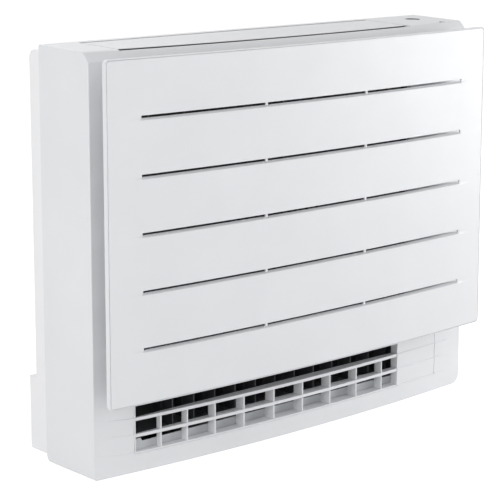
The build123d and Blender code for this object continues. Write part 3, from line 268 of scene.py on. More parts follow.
def between(tree, factor, low, high):
    """Spreads a pattern, most of which lies between 0.3 and 0.7, over low to high."""
    return node(tree, "ShaderNodeMapRange", Value=factor, From_Min=0.3, From_Max=0.7, To_Min=low,
                To_Max=high).outputs["Result"]


def tone(tree, factor, first, second):
    """A colour that wanders between two tones."""
    return node(tree, "ShaderNodeMix", {"data_type": "RGBA"}, A=first, B=second,
                Factor=between(tree, factor, 0.0, 1.0)).outputs["Result"]


def bump(tree, shader, factor, depth):
    """Adds a bump of the given depth in metres."""
    raised = node(tree, "ShaderNodeBump", Height=factor, Distance=depth, Strength=1.0)
    feed(tree, shader.inputs["Normal"], raised.outputs["Normal"])


# %% Plastic finishes
mould_patches = 9.0         # soft patches of tone per metre
mould_sheen = 55.0          # patches of roughness per metre
mould_grain = 2600.0        # grains per metre
mould_depth = 0.02 * MM
plastics = {
    # slot: (darker tone, lighter tone, roughness), with the tones as they look on a display
    "white_shell": ((231, 232, 234), (234, 235, 237), 0.42),
    "white_frame": ((243, 243, 244), (246, 246, 247), 0.46),
    "grey_duct": ((92, 94, 97), (102, 104, 107), 0.55),
    "pale_grey": ((196, 198, 201), (205, 207, 210), 0.5),
    "dark_vane": ((60, 62, 65), (70, 72, 75), 0.36),
    "filter_dark": ((60, 62, 64), (70, 72, 74), 0.6),
    "terminal_black": ((22, 22, 24), (32, 32, 34), 0.45),
}


def moulded(name, darker, lighter, roughness):
    """Moulded plastic: two close tones, a wandering roughness and a fine mould grain."""
    material, tree, shader = new_finish(name)
    feed(tree, shader.inputs["Base Color"],
         tone(tree, object_noise(tree, mould_patches), display(*darker), display(*lighter)))
    feed(tree, shader.inputs["Roughness"],
         between(tree, object_noise(tree, mould_sheen), roughness - 0.04, roughness + 0.04))
    bump(tree, shader, object_noise(tree, mould_grain, 2.0), mould_depth)
    return material


finishes = {name: moulded(name, *look) for name, look in plastics.items()}
print("plastics:", ", ".join(plastics))

# %% Metal finishes
metal_patches = 40.0        # soft patches of tone per metre
metal_depth = 0.01 * MM
zinc_tones = ((0.55, 0.56, 0.58, 1), (0.65, 0.66, 0.68, 1))
zinc_roughness = (0.36, 0.43)
zinc_crystals = 110.0       # per metre
zinc_grain = 300.0          # bumps per metre
metals = {
    # slot: (first tone, second tone, roughness, stretch of the marks, marks per metre)
    "fin_aluminium": ((0.80, 0.81, 0.83, 1), (0.88, 0.89, 0.90, 1), 0.32, (1, 1, 0.05), 900.0),
    "copper": ((0.80, 0.38, 0.22, 1), (0.68, 0.29, 0.16, 1), 0.28, (1, 1, 0.2), 600.0),
    "brass_nut": ((0.80, 0.60, 0.26, 1), (0.72, 0.52, 0.20, 1), 0.3, (1, 0.2, 1), 700.0),
}


def metal(name, first, second, roughness, stretch, scale):
    """Bare metal with marks that run one way, given by how the noise is stretched."""
    material, tree, shader = new_finish(name)
    marks = object_noise(tree, scale, 4.0, stretch)
    feed(tree, shader.inputs["Base Color"], tone(tree, object_noise(tree, metal_patches), first, second))
    feed(tree, shader.inputs["Roughness"], between(tree, marks, roughness - 0.08, roughness + 0.1))
    shader.inputs["Metallic"].default_value = 1.0
    bump(tree, shader, marks, metal_depth)
    return material


def zinc(name):
    """Galvanised sheet: flat crystals of slightly different grey, which a Voronoi pattern draws."""
    material, tree, shader = new_finish(name)
    place = tree.nodes.new("ShaderNodeTexCoord")
    crystals = node(tree, "ShaderNodeTexVoronoi", Vector=place.outputs["Object"], Scale=zinc_crystals)
    split = node(tree, "ShaderNodeSeparateColor", Color=crystals.outputs["Color"])
    feed(tree, shader.inputs["Base Color"], tone(tree, split.outputs["Red"], *zinc_tones))
    feed(tree, shader.inputs["Roughness"], between(tree, split.outputs["Green"], *zinc_roughness))
    shader.inputs["Metallic"].default_value = 1.0
    bump(tree, shader, object_noise(tree, zinc_grain), metal_depth)
    return material


finishes.update({name: metal(name, *look) for name, look in metals.items()})
finishes["zinc_steel"] = zinc("zinc_steel")
print("metals:", ", ".join(metals), "and zinc_steel")


# %% Circuit board and tinted lens
track_scale = 60.0          # of the pattern that draws the tracks
track_width = 0.03          # in the pattern's own units
track_depth = 0.05 * MM
lens_patches = 200.0        # patches of tone per metre


def circuit(name):
    """A circuit board: green lacquer with copper tracks showing through as lighter lines."""
    material, tree, shader = new_finish(name)
    place = tree.nodes.new("ShaderNodeTexCoord")
    tracks = node(tree, "ShaderNodeTexBrick", Vector=place.outputs["Object"], Color1=display(16, 74, 44),
                  Color2=display(20, 84, 50), Mortar=display(70, 130, 84), Scale=track_scale,
                  Mortar_Size=track_width)
    feed(tree, shader.inputs["Base Color"], tracks.outputs["Color"])
    shader.inputs["Roughness"].default_value = 0.35
    bump(tree, shader, tracks.outputs["Fac"], track_depth)
    return material


def smoked(name):
    """The indicator's lens: dark tinted plastic, polished."""
    material, tree, shader = new_finish(name)
    feed(tree, shader.inputs["Base Color"],
         tone(tree, object_noise(tree, lens_patches), display(30, 32, 35), display(40, 42, 45)))
    shader.inputs["Roughness"].default_value = 0.12
    shader.inputs["Coat Weight"].default_value = 0.5
    return material


finishes["circuit_green"] = circuit("circuit_green")
finishes["smoked_lens"] = smoked("smoked_lens")
print("finishes:", ", ".join(sorted(finishes)))

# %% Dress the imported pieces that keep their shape
for name, piece in nodes.items():
    piece.data.materials.clear()
    piece.data.materials.append(finishes[slot_of[name]])
print("dressed", len(nodes), "packed pieces")

# %% [markdown]
# ## Helpers for the meshes
#
# Every piece below ends the same way: its mesh is made plain, its shading is smooth except at real
# edges, it gets a finish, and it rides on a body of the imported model, which makes it move with a
# joint. Long flat faces beside tiny roundings shade badly with plain smooth normals, so the normals
# are weighted by face area, which keeps the big faces flat and the roundings round.

# %% Finishing helpers
def settle(piece):
    """Replaces a piece's mesh by the plain result of its modifiers."""
    graph = bpy.context.evaluated_depsgraph_get()
    mesh = bpy.data.meshes.new_from_object(piece.evaluated_get(graph))
    piece.modifiers.clear()
    piece.data = mesh
    return piece


def object_from(name, tree):
    """An object from a bmesh, which is freed. Its place is in its mesh."""
    mesh = bpy.data.meshes.new(name)
    tree.to_mesh(mesh)
    tree.free()
    piece = bpy.data.objects.new(name, mesh)
    scene.collection.objects.link(piece)
    return piece


def reopened(piece):
    """A piece's mesh as a bmesh again. The piece is removed."""
    tree = bmesh.new()
    tree.from_mesh(piece.data)
    bpy.data.objects.remove(piece)
    return tree


def finish_piece(piece, body, slot, *stands_for, sharp=32.0):
    """Shades a piece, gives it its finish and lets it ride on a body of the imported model."""
    piece.data.shade_smooth()
    piece.data.set_sharp_from_angle(angle=radians(sharp))
    weigh = piece.modifiers.new("weigh", "WEIGHTED_NORMAL")
    weigh.keep_sharp = True
    settle(piece)
    piece.data.materials.clear()
    piece.data.materials.append(finishes[slot])
    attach(piece, body)
    if stands_for:
        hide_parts(*stands_for)
    print(f"{piece.name}: {len(piece.data.polygons)} faces on {body}")
    return piece


def join(name, pieces):
    """One object from several, which are removed."""
    whole = bmesh.new()
    for piece in pieces:
        whole.from_mesh(piece.data)
        bpy.data.objects.remove(piece)
    return object_from(name, whole)


# %% Small solids
def about(middle, half):
    """(low, high) about a middle."""
    return (middle - half, middle + half)


def band(tree, first, second):
    """The faces between two loops that have as many points."""
    for k in range(len(first)):
        after = (k + 1) % len(first)
        tree.faces.new((first[k], second[k], second[after], first[after]))


def add_box(tree, x, y, z, edge=0.0):
    """A box given as (low, high) along each axis, with its edges rounded by edge."""
    size = Vector((x[1] - x[0], y[1] - y[0], z[1] - z[0]))
    middle = Vector((x[0] + x[1], y[0] + y[1], z[0] + z[1])) / 2
    place = Matrix.Translation(middle) @ Matrix.Diagonal((*size, 1))
    corners = bmesh.ops.create_cube(tree, size=1.0, matrix=place)["verts"]
    if edge:
        edges = list({line for corner in corners for line in corner.link_edges})
        bmesh.ops.bevel(tree, geom=edges, offset=edge, segments=2, affect="EDGES", profile=0.5)


def add_rod(tree, start, length, axis, radius, segments=48):
    """A round rod from a point, along +X, +Y or +Z."""
    turn = {"x": Euler((0, pi / 2, 0)), "y": Euler((-pi / 2, 0, 0)), "z": Euler((0, 0, 0))}[axis]
    along = {"x": Vector((1, 0, 0)), "y": Vector((0, 1, 0)), "z": Vector((0, 0, 1))}[axis]
    place = Matrix.Translation(Vector(start) + along * length / 2) @ turn.to_matrix().to_4x4()
    bmesh.ops.create_cone(tree, cap_ends=True, segments=segments, radius1=radius, radius2=radius,
                          depth=length, matrix=place)


def carve(target, tool, operation="DIFFERENCE"):
    """Cuts a tool out of a target, adds it, or keeps what they share. The tool is removed."""
    change = target.modifiers.new("carve", "BOOLEAN")
    change.object = tool
    change.operation = operation
    change.solver = "MANIFOLD"
    settle(target)
    bpy.data.objects.remove(tool)


def box_tool(x, y, z):
    """A box as an object, for carving."""
    tree = bmesh.new()
    add_box(tree, x, y, z)
    return object_from("tool", tree)


def rod_tool(start, length, axis, radius):
    """A rod as an object, for carving."""
    tree = bmesh.new()
    add_rod(tree, start, length, axis, radius, 64)
    return object_from("tool", tree)


# %% [markdown]
# ## Front panel
#
# The panel is the face of the unit: a thin white sheet, bowed from side to side, with a rim that
# turns back, rounded corners and five air slots. Each slot has a bevelled lip under it, which runs
# out to nothing past the slot's ends. A boolean would cut the slots but leave long thin faces that
# shade badly. Instead the sheet is laid out as one grid whose rows fall exactly on the edges of the
# slots. The back is the same grid, drawn in, and walls join the two where a slot goes through.

# %% Sizes of the panel
panel_low, panel_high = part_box("front_panel")
half_width = panel_high.x
panel_front = panel_low.y
panel_bow = 14.0 * MM
panel_corner = 6.0 * MM
panel_edge = 0.8 * MM       # rounding of the rim's front edge
face_inset = 2.2 * MM       # the face ends this far inside the rim, at a fine groove
groove_width = 0.9 * MM
groove_depth = 1.8 * MM
face_edge = 0.3 * MM
panel_skin = 3.0 * MM
panel_rim = 8.0 * MM
slot_first = 78.0 * MM      # from the panel's top to the first slot
slot_pitch = 80.5 * MM
slot_tops = [panel_high.z - (slot_first + slot_pitch * row) for row in range(5)]
slot_height = 4.4 * MM
slot_margin = 2.0 * MM      # flat strip between a slot and the next row of the grid
lip_height = 2.4 * MM
lip_depth = 5.0 * MM
lip_flat = 0.4 * MM
slot_end = half_width - 56.0 * MM
lip_fade = 34.0 * MM        # how far the lip runs on past the slot's end
lip_tail = 0.3              # how deep it still is there, as a share of its depth along the slot
bridge = (98.5 * MM, 101.5 * MM)
step = 0.04 * MM            # stands for a vertical face between two rows
grid_columns, grid_rows = 63, 27
least_gap = 1.2 * MM        # between two columns
corner_steps = 6
rim_edge = 0.6 * MM
rim_steps = 5               # of the rim's rounding
weld = 0.005 * MM           # points closer than this become one
sliver = 0.002 * MM         # edges shorter than this are dissolved
print("slots at", [round(z, 4) for z in slot_tops])


def bow(x, depth):
    """How far a bowed face has fallen back at x."""
    return depth * (x / half_width) ** 2


def evenly(first, last, count):
    """Places from the first to the last, at one pitch."""
    return [first + (last - first) * k / (count - 1) for k in range(count)]


# %% The grid's columns and rows
def panel_columns():
    """Each column is (side, place): a fixed x, or a share of the way from a corner's centre to the edge."""
    inner = half_width - panel_corner
    places = set(evenly(-inner, inner, grid_columns))
    for side in (-1, 1):
        places |= {side * slot_end, side * bridge[0], side * bridge[1]}
        places |= {side * (slot_end + lip_fade * share) for share in (0.25, 0.5, 0.75, 1.0)}
    ordered = sorted(places)
    spaced = [ordered[0]]
    for place in ordered[1:]:
        if place - spaced[-1] > least_gap:
            spaced.append(place)
    border = (1.0, 0.93, 0.5)
    return ([(-1, share) for share in border] + [(0, place) for place in spaced] +
            [(1, share) for share in reversed(border)])


def panel_rows():
    """Each row is (side, place, lip): a height, or an angle round a corner. Lip is how deep it lies."""
    rows = [(0, z, 0.0) for z in evenly(panel_low.z + panel_corner, panel_high.z - panel_corner, grid_rows)]
    for top in slot_tops:
        low = top - slot_height
        near = (low - lip_height - slot_margin, top + slot_margin)
        rows = [row for row in rows if not near[0] < row[1] < near[1]]
        rows += [(0, near[0], 0.0), (0, low - lip_height, 0.0), (0, low - lip_flat, 1.0), (0, low, 1.0),
                 (0, low + step, 0.0), (0, top, 0.0), (0, near[1], 0.0)]
    rows.sort(key=lambda row: row[1])
    turns = [pi / 2 * k / corner_steps for k in range(1, corner_steps + 1)]
    return [(-1, turn, 0.0) for turn in reversed(turns)] + rows + [(1, turn, 0.0) for turn in turns]


def panel_point(column, row, inset, depth):
    """A point of the sheet: drawn in from the outline by inset, behind the front by depth."""
    radius = panel_corner - inset
    centre_x = half_width - panel_corner
    if row[0]:
        reach = centre_x + radius * cos(row[1])
        edge_z = panel_high.z - panel_corner if row[0] > 0 else panel_low.z + panel_corner
        z = edge_z + row[0] * radius * sin(row[1])
    else:
        reach = half_width - inset
        z = row[1]
    x = column[0] * (centre_x + column[1] * (reach - centre_x)) if column[0] else column[1]
    return Vector((x, panel_front + bow(x, panel_bow) + depth, z))


# %% The sheet
def lip_share(x):
    """1 along a slot, a shallow groove just past its ends, and falling softly to 0 from there."""
    past = (abs(x) - slot_end) / lip_fade
    return 1.0 if past <= 0 else lip_tail * max(0.0, 1 - past) ** 2


def in_slot(x_middle, z_middle):
    """Whether the middle of a face lies in an open part of a slot."""
    across = abs(x_middle)
    if across > slot_end or bridge[0] < across < bridge[1]:
        return False
    return any(top - slot_height < z_middle < top for top in slot_tops)


def sheet_faces(tree, columns, rows):
    """The points and faces of the sheet's front and back, and the cells left open for the slots."""
    front, back, open_cells = {}, {}, set()
    for i, column in enumerate(columns):
        for j, row in enumerate(rows):
            point = panel_point(column, row, face_inset, 0.0)
            sunk = Vector((0, lip_depth * row[2] * lip_share(point.x), 0))
            front[i, j] = tree.verts.new(point + sunk)
            back[i, j] = tree.verts.new(panel_point(column, row, panel_skin, panel_skin) + sunk)
    for i in range(len(columns) - 1):
        for j in range(len(rows) - 1):
            middle = (front[i, j].co + front[i + 1, j + 1].co) / 2
            if in_slot(middle.x, middle.z):
                open_cells.add((i, j))
                continue
            tree.faces.new((front[i, j], front[i + 1, j], front[i + 1, j + 1], front[i, j + 1]))
            tree.faces.new((back[i, j], back[i, j + 1], back[i + 1, j + 1], back[i + 1, j]))
    return front, back, open_cells


def slot_walls(tree, front, back, open_cells):
    """Joins the front to the back round every slot."""
    for i, j in open_cells:
        around = (((i, j), (i + 1, j), (i, j - 1)), ((i + 1, j), (i + 1, j + 1), (i + 1, j)),
                  ((i + 1, j + 1), (i, j + 1), (i, j + 1)), ((i, j + 1), (i, j), (i - 1, j)))
        for first, second, past in around:
            if past not in open_cells:
                tree.faces.new((front[first], front[second], back[second], back[first]))


def rim_loops():
    """(inset, depth) of the loops from the face to the back: a fine groove, a round edge and the rim."""
    face_end = face_inset - face_edge
    groove_out = face_end - groove_width
    turns = [pi / 2 * k / rim_steps for k in range(1, rim_steps + 1)]
    loops = [(face_end, face_edge), (face_end, groove_depth), (groove_out, groove_depth),
             (groove_out, face_edge)]
    loops += [(panel_edge * (1 - sin(turn)), panel_edge * (1 - cos(turn))) for turn in turns]
    loops += [(0.0, panel_rim - rim_edge), (rim_edge * 0.3, panel_rim - rim_edge * 0.3),
              (rim_edge, panel_rim), (panel_skin - rim_edge, panel_rim), (panel_skin, panel_rim - rim_edge)]
    return loops


def panel_sheet():
    """The panel's front, back, rim and slot walls as one closed mesh."""
    columns, rows = panel_columns(), panel_rows()
    tree = bmesh.new()
    front, back, open_cells = sheet_faces(tree, columns, rows)
    slot_walls(tree, front, back, open_cells)
    last_i, last_j = len(columns) - 1, len(rows) - 1
    border = ([(i, 0) for i in range(last_i)] + [(last_i, j) for j in range(last_j)] +
              [(i, last_j) for i in range(last_i, 0, -1)] + [(0, j) for j in range(last_j, 0, -1)])
    previous = [front[place] for place in border]
    for inset, depth in rim_loops():
        ring = [tree.verts.new(panel_point(columns[i], rows[j], inset, depth)) for i, j in border]
        band(tree, previous, ring)
        previous = ring
    band(tree, previous, [back[place] for place in border])
    bmesh.ops.remove_doubles(tree, verts=tree.verts, dist=weld)
    bmesh.ops.dissolve_degenerate(tree, edges=tree.edges, dist=sliver)
    bmesh.ops.recalc_face_normals(tree, faces=tree.faces)
    return object_from("panel_sheet", tree)


# %% Pivot arms and latch rails on its back
hinge = Vector(next(joint for joint in frame["joints"] if joint["name"] == "panel_tilt")["pos_m"])
arm_x = half_width - 57.0 * MM
arm_half = 2.0 * MM
pivot_radius = 5.0 * MM
latch_low, latch_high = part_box("panel_latch_right")
latch_gap = 0.3 * MM
rail_ends = (-8.0 * MM, 16.0 * MM)      # along the panel, from the latch's inner end
rail_depth = 14.0 * MM
rail_thick = 2.0 * MM
skin_overlap = 0.5 * MM     # how far a fitting reaches into the skin that it stands on


def skin_back(x):
    """Y from which a fitting at x stands on the panel's skin."""
    return panel_front + bow(x, panel_bow) + panel_skin - skin_overlap


def panel_fittings():
    """Two pivot arms and two pairs of rails that the latches slide in."""
    tree = bmesh.new()
    for side in (-1, 1):
        arm = about(side * arm_x, arm_half)
        add_box(tree, arm, (skin_back(arm_x), hinge.y), about(hinge.z, pivot_radius), 0.5 * MM)
        add_rod(tree, (arm[0], hinge.y, hinge.z), arm[1] - arm[0], "x", pivot_radius)
        rail = sorted(side * (latch_low.x + end) for end in rail_ends)
        rail_y = skin_back(latch_low.x)
        for edge, near in ((-1, latch_low.z - latch_gap), (1, latch_high.z + latch_gap)):
            add_box(tree, rail, (rail_y, rail_y + rail_depth), sorted((near, near + edge * rail_thick)),
                    0.3 * MM)
    return object_from("panel_fittings", tree)


panel = join("front_panel_skin", [panel_sheet(), panel_fittings()])
finish_piece(panel, "panel", "white_shell", "front_panel")

# %% [markdown]
# ## Casing
#
# Behind the panel stands the casing: one large moulding with a bowed front, a top that falls
# slightly to the front, and corners of four different radii. That is how the real mould is made
# too: a plain bowed block, its edges rounded one after another, hollowed, and then cut open for the
# intake, the outlet, the flap and the button. So it is built as a block whose edges are bevelled,
# a smaller copy of it is carved out of the inside, and the openings are carved last.

# %% Sizes of the casing
casing_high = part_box("front_casing")[1]
casing_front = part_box("lower_grille")[0].y  # the grille is flush; the casing's own box holds its ears too
casing_back = casing_high.y
casing_bow = 20.0 * MM
casing_wall = 2.5 * MM
top_fall = 4.0 * MM
front_top_radius = 14.0 * MM
front_top_profile = 0.33    # flatter than round, so that a crease shows where the top ends
side_radius = 2.0 * MM
foot_radii = {-1: 6.0 * MM, 1: 16.0 * MM}   # lower left and lower right corner
foot_facet = 2.4 * MM       # one step of a lower corner's arc, longer than the radius that follows it
back_foot_radius = 13.0 * MM
outlet = {"left": -310.0 * MM, "open_right": 213.0 * MM, "right": 307.0 * MM,
          "low": 27.0 * MM, "high": 104.0 * MM}
bar_heights = (77.5 * MM, 53.5 * MM)
bar_front = 4.6 * MM        # thickness of a bar of the grille at its front
crease_heights = (101.5 * MM, bar_heights[0] + bar_front / 2, bar_heights[1] + bar_front / 2, 29.5 * MM)
crease_depths = (1.8 * MM, 1.0 * MM)    # at the casing's left and right end
crease_ledge = 0.6 * MM
crease_fade = 75.0 * MM
crease_drift = 5.0 * MM     # how far a line has risen where it reaches the casing's left corner
crease_radius = 1.4 * MM    # the upright front edges are much crisper than the top's
print("casing depth", round(casing_back - casing_front, 4))


def front_at(x, inset=0.0):
    """Y of the bowed casing front."""
    return casing_front + bow(x, casing_bow) + inset


def top_at(y):
    """Height of the sloping top."""
    return casing_high.z - top_fall * (casing_back - y) / (casing_back - casing_front)


def soft_step(share):
    """0 below 0, 1 above 1, and a smooth way between."""
    share = min(1.0, max(0.0, share))
    return share * share * (3 - 2 * share)


def drift_at(x, z):
    """How far a crease line has risen at x, for the points that lie on one."""
    near = min(abs(line - z) for line in crease_heights)
    past = (outlet["left"] - x) / (half_width + outlet["left"])
    return crease_drift * max(0.0, past) if near < crease_ledge else 0.0


def crease_at(x, z):
    """How far the face stands out: most just under a crease, less further down, fading to the sides."""
    below = [line - z for line in crease_heights if line > z]
    if not below:
        return 0.0
    pitch = crease_heights[1] - crease_heights[2]
    rise = max(0.0, 1 - min(below) / pitch)
    side = outlet["left"] - x if x < 0 else x - outlet["right"]
    depth = crease_depths[0] + (crease_depths[1] - crease_depths[0]) * (x / half_width + 1) / 2
    return -depth * rise * (1 - soft_step(side / crease_fade))


# %% The bowed block
block_end = 20.0 * MM       # the outermost columns lie this far in, clear of the corners' rounding
block_columns = 72
ridge_segments = 8
crisp_angle = radians(50)   # edges that turn by more than this are the crisp ones
on_face = 0.05 * MM         # points closer than this to the bowed front lie on it


def round_edges(tree, edges, radius, segments, profile=0.5):
    """Rounds the given edges: a profile of 0.5 is a round one, and 0.25 would be a flat chamfer."""
    bmesh.ops.bevel(tree, geom=edges, offset=radius, offset_type="OFFSET", segments=segments,
                    profile=profile, affect="EDGES", clamp_overlap=False)


def block_sides(side, rear, inset):
    """The plain bowed block, as a bmesh."""
    places = [-side] + evenly(-half_width + block_end, half_width - block_end, block_columns) + [side]
    tree = bmesh.new()
    corners = []
    for x in places:
        front = front_at(x, inset)
        outline = ((front, inset), (front, top_at(front) - inset), (rear, top_at(rear) - inset),
                   (rear, inset))
        corners.append([tree.verts.new((x, y, z)) for y, z in outline])
    for here, there in zip(corners, corners[1:]):
        band(tree, here, there)
    tree.faces.new(corners[0])
    tree.faces.new(list(reversed(corners[-1])))
    bmesh.ops.recalc_face_normals(tree, faces=tree.faces)
    return tree


def casing_block(inset=0.0, finished=False):
    """The casing's outer form, or the space inside it when inset by its wall."""
    side = half_width - inset
    rear = casing_back + (casing_wall if inset else 0.0)
    tree = block_sides(side, rear, inset)

    def along(edge, test):
        return all(test(vertex.co) for vertex in edge.verts)
    for hand, radius in foot_radii.items():
        foot = [edge for edge in tree.edges
                if along(edge, lambda co: abs(co.x - hand * side) < TINY and abs(co.z - inset) < TINY)]
        round_edges(tree, foot, radius - inset, round(pi / 2 * radius / foot_facet))
    ridge = [edge for edge in tree.edges
             if along(edge, lambda co: abs(co.y - front_at(co.x, inset)) < TINY
                      and abs(co.z - top_at(co.y) + inset) < TINY)]
    round_edges(tree, ridge, front_top_radius - inset, ridge_segments, front_top_profile)
    if not finished:
        return object_from("casing_block", tree)
    weight = tree.edges.layers.float.new("bevel_weight_edge")
    shoulder = casing_high.z - top_fall - front_top_radius
    for edge in tree.edges:
        if len(edge.link_faces) < 2 or edge.calc_face_angle() < crisp_angle:
            continue
        if along(edge, lambda co: co.y > rear - TINY):
            continue
        middle = (edge.verts[0].co.z + edge.verts[1].co.z) / 2
        share = soft_step((middle - shoulder) / front_top_radius)
        edge[weight] = (crease_radius + (side_radius - crease_radius) * share) / side_radius
    block = object_from("casing_block", tree)
    rounding = block.modifiers.new("rounding", "BEVEL")
    rounding.limit_method = "WEIGHT"
    rounding.width = side_radius
    rounding.segments = 4
    rounding.use_clamp_overlap = False
    tree = reopened(settle(block))
    add_creases(tree)
    return object_from("casing_block", tree)


def add_creases(tree):
    """Cuts a pair of rows at each crease line, and moves the front's points by crease_at and drift_at."""
    for line in crease_heights:
        for z in (line - crease_ledge / 2, line + crease_ledge / 2):
            whole = list(tree.verts) + list(tree.edges) + list(tree.faces)
            bmesh.ops.bisect_plane(tree, geom=whole, plane_co=(0, 0, z), plane_no=(0, 0, 1))
    for vertex in tree.verts:
        x, y, z = vertex.co
        if abs(y - front_at(x)) < on_face:
            vertex.co = (x, y + crease_at(x, z), z + drift_at(x, z))


# %% Tools that open it
plan_points = 49            # along a tool's bowed front


def plan_tool(left, right, y_of, back, low, high):
    """A block whose front follows the bow, for carving."""
    places = evenly(left, right, plan_points)
    plan = [(x, y_of(x)) for x in places] + [(right, back), (left, back)]
    return prism([(x, y, low) for x, y in plan], Vector((0, 0, high - low)))


def prism(points, along):
    """A solid with the given flat outline, carried along a vector."""
    tree = bmesh.new()
    first = [tree.verts.new(point) for point in points]
    second = [tree.verts.new(Vector(point) + along) for point in points]
    tree.faces.new(first)
    tree.faces.new(list(reversed(second)))
    for k in range(len(points)):
        after = (k + 1) % len(points)
        tree.faces.new((first[after], first[k], second[k], second[after]))
    bmesh.ops.recalc_face_normals(tree, faces=tree.faces)
    return object_from("tool", tree)


# %% Sizes of the openings
beyond = 5.0 * MM           # how far a cutting tool reaches past what it cuts
flap_hinge = Vector(next(joint for joint in frame["joints"] if joint["name"] == "flap_tilt")["pos_m"])
flap_left = -317.0 * MM
flap_right = 247.0 * MM
flap_margin = 19.0 * MM
flap_gap = 2.2 * MM
flap_front_gap = 2.6 * MM
flap_step = 1.9 * MM        # the casing's lip lies this much lower than the flap, as a place for a finger
flap_lip = 3.0 * MM         # how far behind the front the lowered lip may begin
flap_sweep = 19.4 * MM
window = {"left": -305.0 * MM, "right": 235.0 * MM, "low": 150.0 * MM, "high": 560.0 * MM}
guard_front = -64.5 * MM
guard_thick = 2.5 * MM
foot_half = 352.3 * MM      # half the width that the rear frame's foot takes up
foot_front = -9.3 * MM
outlet_cut = 25.0 * MM
heel_points = 9             # along the arc of a round heel
button_low =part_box("power_button")[0]
button_place = Vector((321.0 * MM, 0.0, 0.0))
button_radius = 13.0 * MM
button_gap = 0.35 * MM
lens_low, lens_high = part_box("indicator_lens")
lens_gap = 0.15 * MM
screw_places = [(x * MM, z * MM) for x in (-345.0, 345.0) for z in (125.0, 565.0)]
screw_head = 4.0 * MM
screw_hole = 2.3 * MM
hole_length = 10.0 * MM
well_length = 20.0 * MM
well_floor = 0.7 * MM       # how far behind the casing's front a screw's head is seated
button_cut = (10.0 * MM, 20.0 * MM)     # where its hole starts, below the top's rear edge, and its length
lens_cut = 12.0 * MM
print("intake", round(window["right"] - window["left"], 4), "by", round(window["high"] - window["low"], 4))


# %% The casing, cut open
def sleeve():
    """The frame round the intake that the filters lie in, joined to the casing's front."""
    block = casing_block()
    carve(block, box_tool((window["left"] - casing_wall, window["right"] + casing_wall),
                          (casing_front - beyond, guard_front + guard_thick),
                          (window["low"] - casing_wall, window["high"] + casing_wall)), "INTERSECT")
    return block


def open_front(shell):
    """Cuts the intake, the place of the rear frame's foot, the round heels and the outlet."""
    carve(shell, box_tool((window["left"], window["right"]),
                          (casing_front - beyond, guard_front + guard_thick + beyond),
                          (window["low"], window["high"])))
    carve(shell, box_tool((-foot_half, foot_half), (foot_front, casing_back + beyond),
                          (-beyond, casing_wall + 1 * MM)))
    corner = casing_back - back_foot_radius
    left = -half_width - beyond
    arc = [(left, corner + back_foot_radius * sin(turn), back_foot_radius * (1 - cos(turn)))
           for turn in evenly(0.0, pi / 2, heel_points)]
    outside =[(left, casing_back + beyond, back_foot_radius), (left, casing_back + beyond, -beyond),
               (left, corner, -beyond)]
    carve(shell, prism(arc + outside, Vector((2 * (half_width + beyond), 0, 0))))
    carve(shell, box_tool((outlet["left"], outlet["right"]),
                          (casing_front - beyond, casing_front + outlet_cut),
                          (outlet["low"], outlet["high"])))


def open_top(shell):
    """Cuts the flap's opening, the lowered lip before it and the holes of button and indicator."""
    over = casing_high.z + beyond
    carve(shell, plan_tool(flap_left, flap_right, lambda x: front_at(x, flap_margin), flap_hinge.y,
                           casing_high.z - 3 * casing_wall - top_fall, over))
    carve(shell, plan_tool(flap_left, flap_right, lambda x: front_at(x, flap_lip), flap_hinge.y,
                           top_at(casing_front + flap_margin) - flap_step, over))
    carve(shell, rod_tool((flap_left, flap_hinge.y, flap_hinge.z), flap_right - flap_left, "x", flap_sweep))
    carve(shell, rod_tool((button_place.x, button_place.y, casing_high.z - button_cut[0]), button_cut[1],
                          "z", button_radius + button_gap))
    carve(shell, box_tool((lens_low.x - lens_gap, lens_high.x + lens_gap),
                          (lens_low.y - lens_gap, lens_high.y + lens_gap), (casing_high.z - lens_cut, over)))


def casing_shell():
    """The casing, hollowed and cut open."""
    shell = casing_block(finished=True)
    carve(shell, casing_block(casing_wall))
    carve(shell, sleeve(), "UNION")
    open_front(shell)
    open_top(shell)
    for x, z in screw_places:
        carve(shell, rod_tool((x, front_at(x) - well_length + well_floor, z), well_length, "y",
                              screw_head + 1 * MM))
        carve(shell, rod_tool((x, front_at(x) - 1 * MM, z), hole_length, "y", screw_hole))
    return shell


# %% What is moulded onto it
fitting_edge = 0.4 * MM
fitting_gap = 1.0 * MM
ear_width = 4.0 * MM
ear_radius = 7.0 * MM
ear_gap = 0.3 * MM
panel_pin = 2.4 * MM        # radius
catch_out = 24.5 * MM       # from the latch's inner end
catch_half = 1.5 * MM
catch_reach = 10.0 * MM
jaw_out, jaw_in = 1.8 * MM, 3.2 * MM    # a catch's jaws reach past the latch's edges, and over them


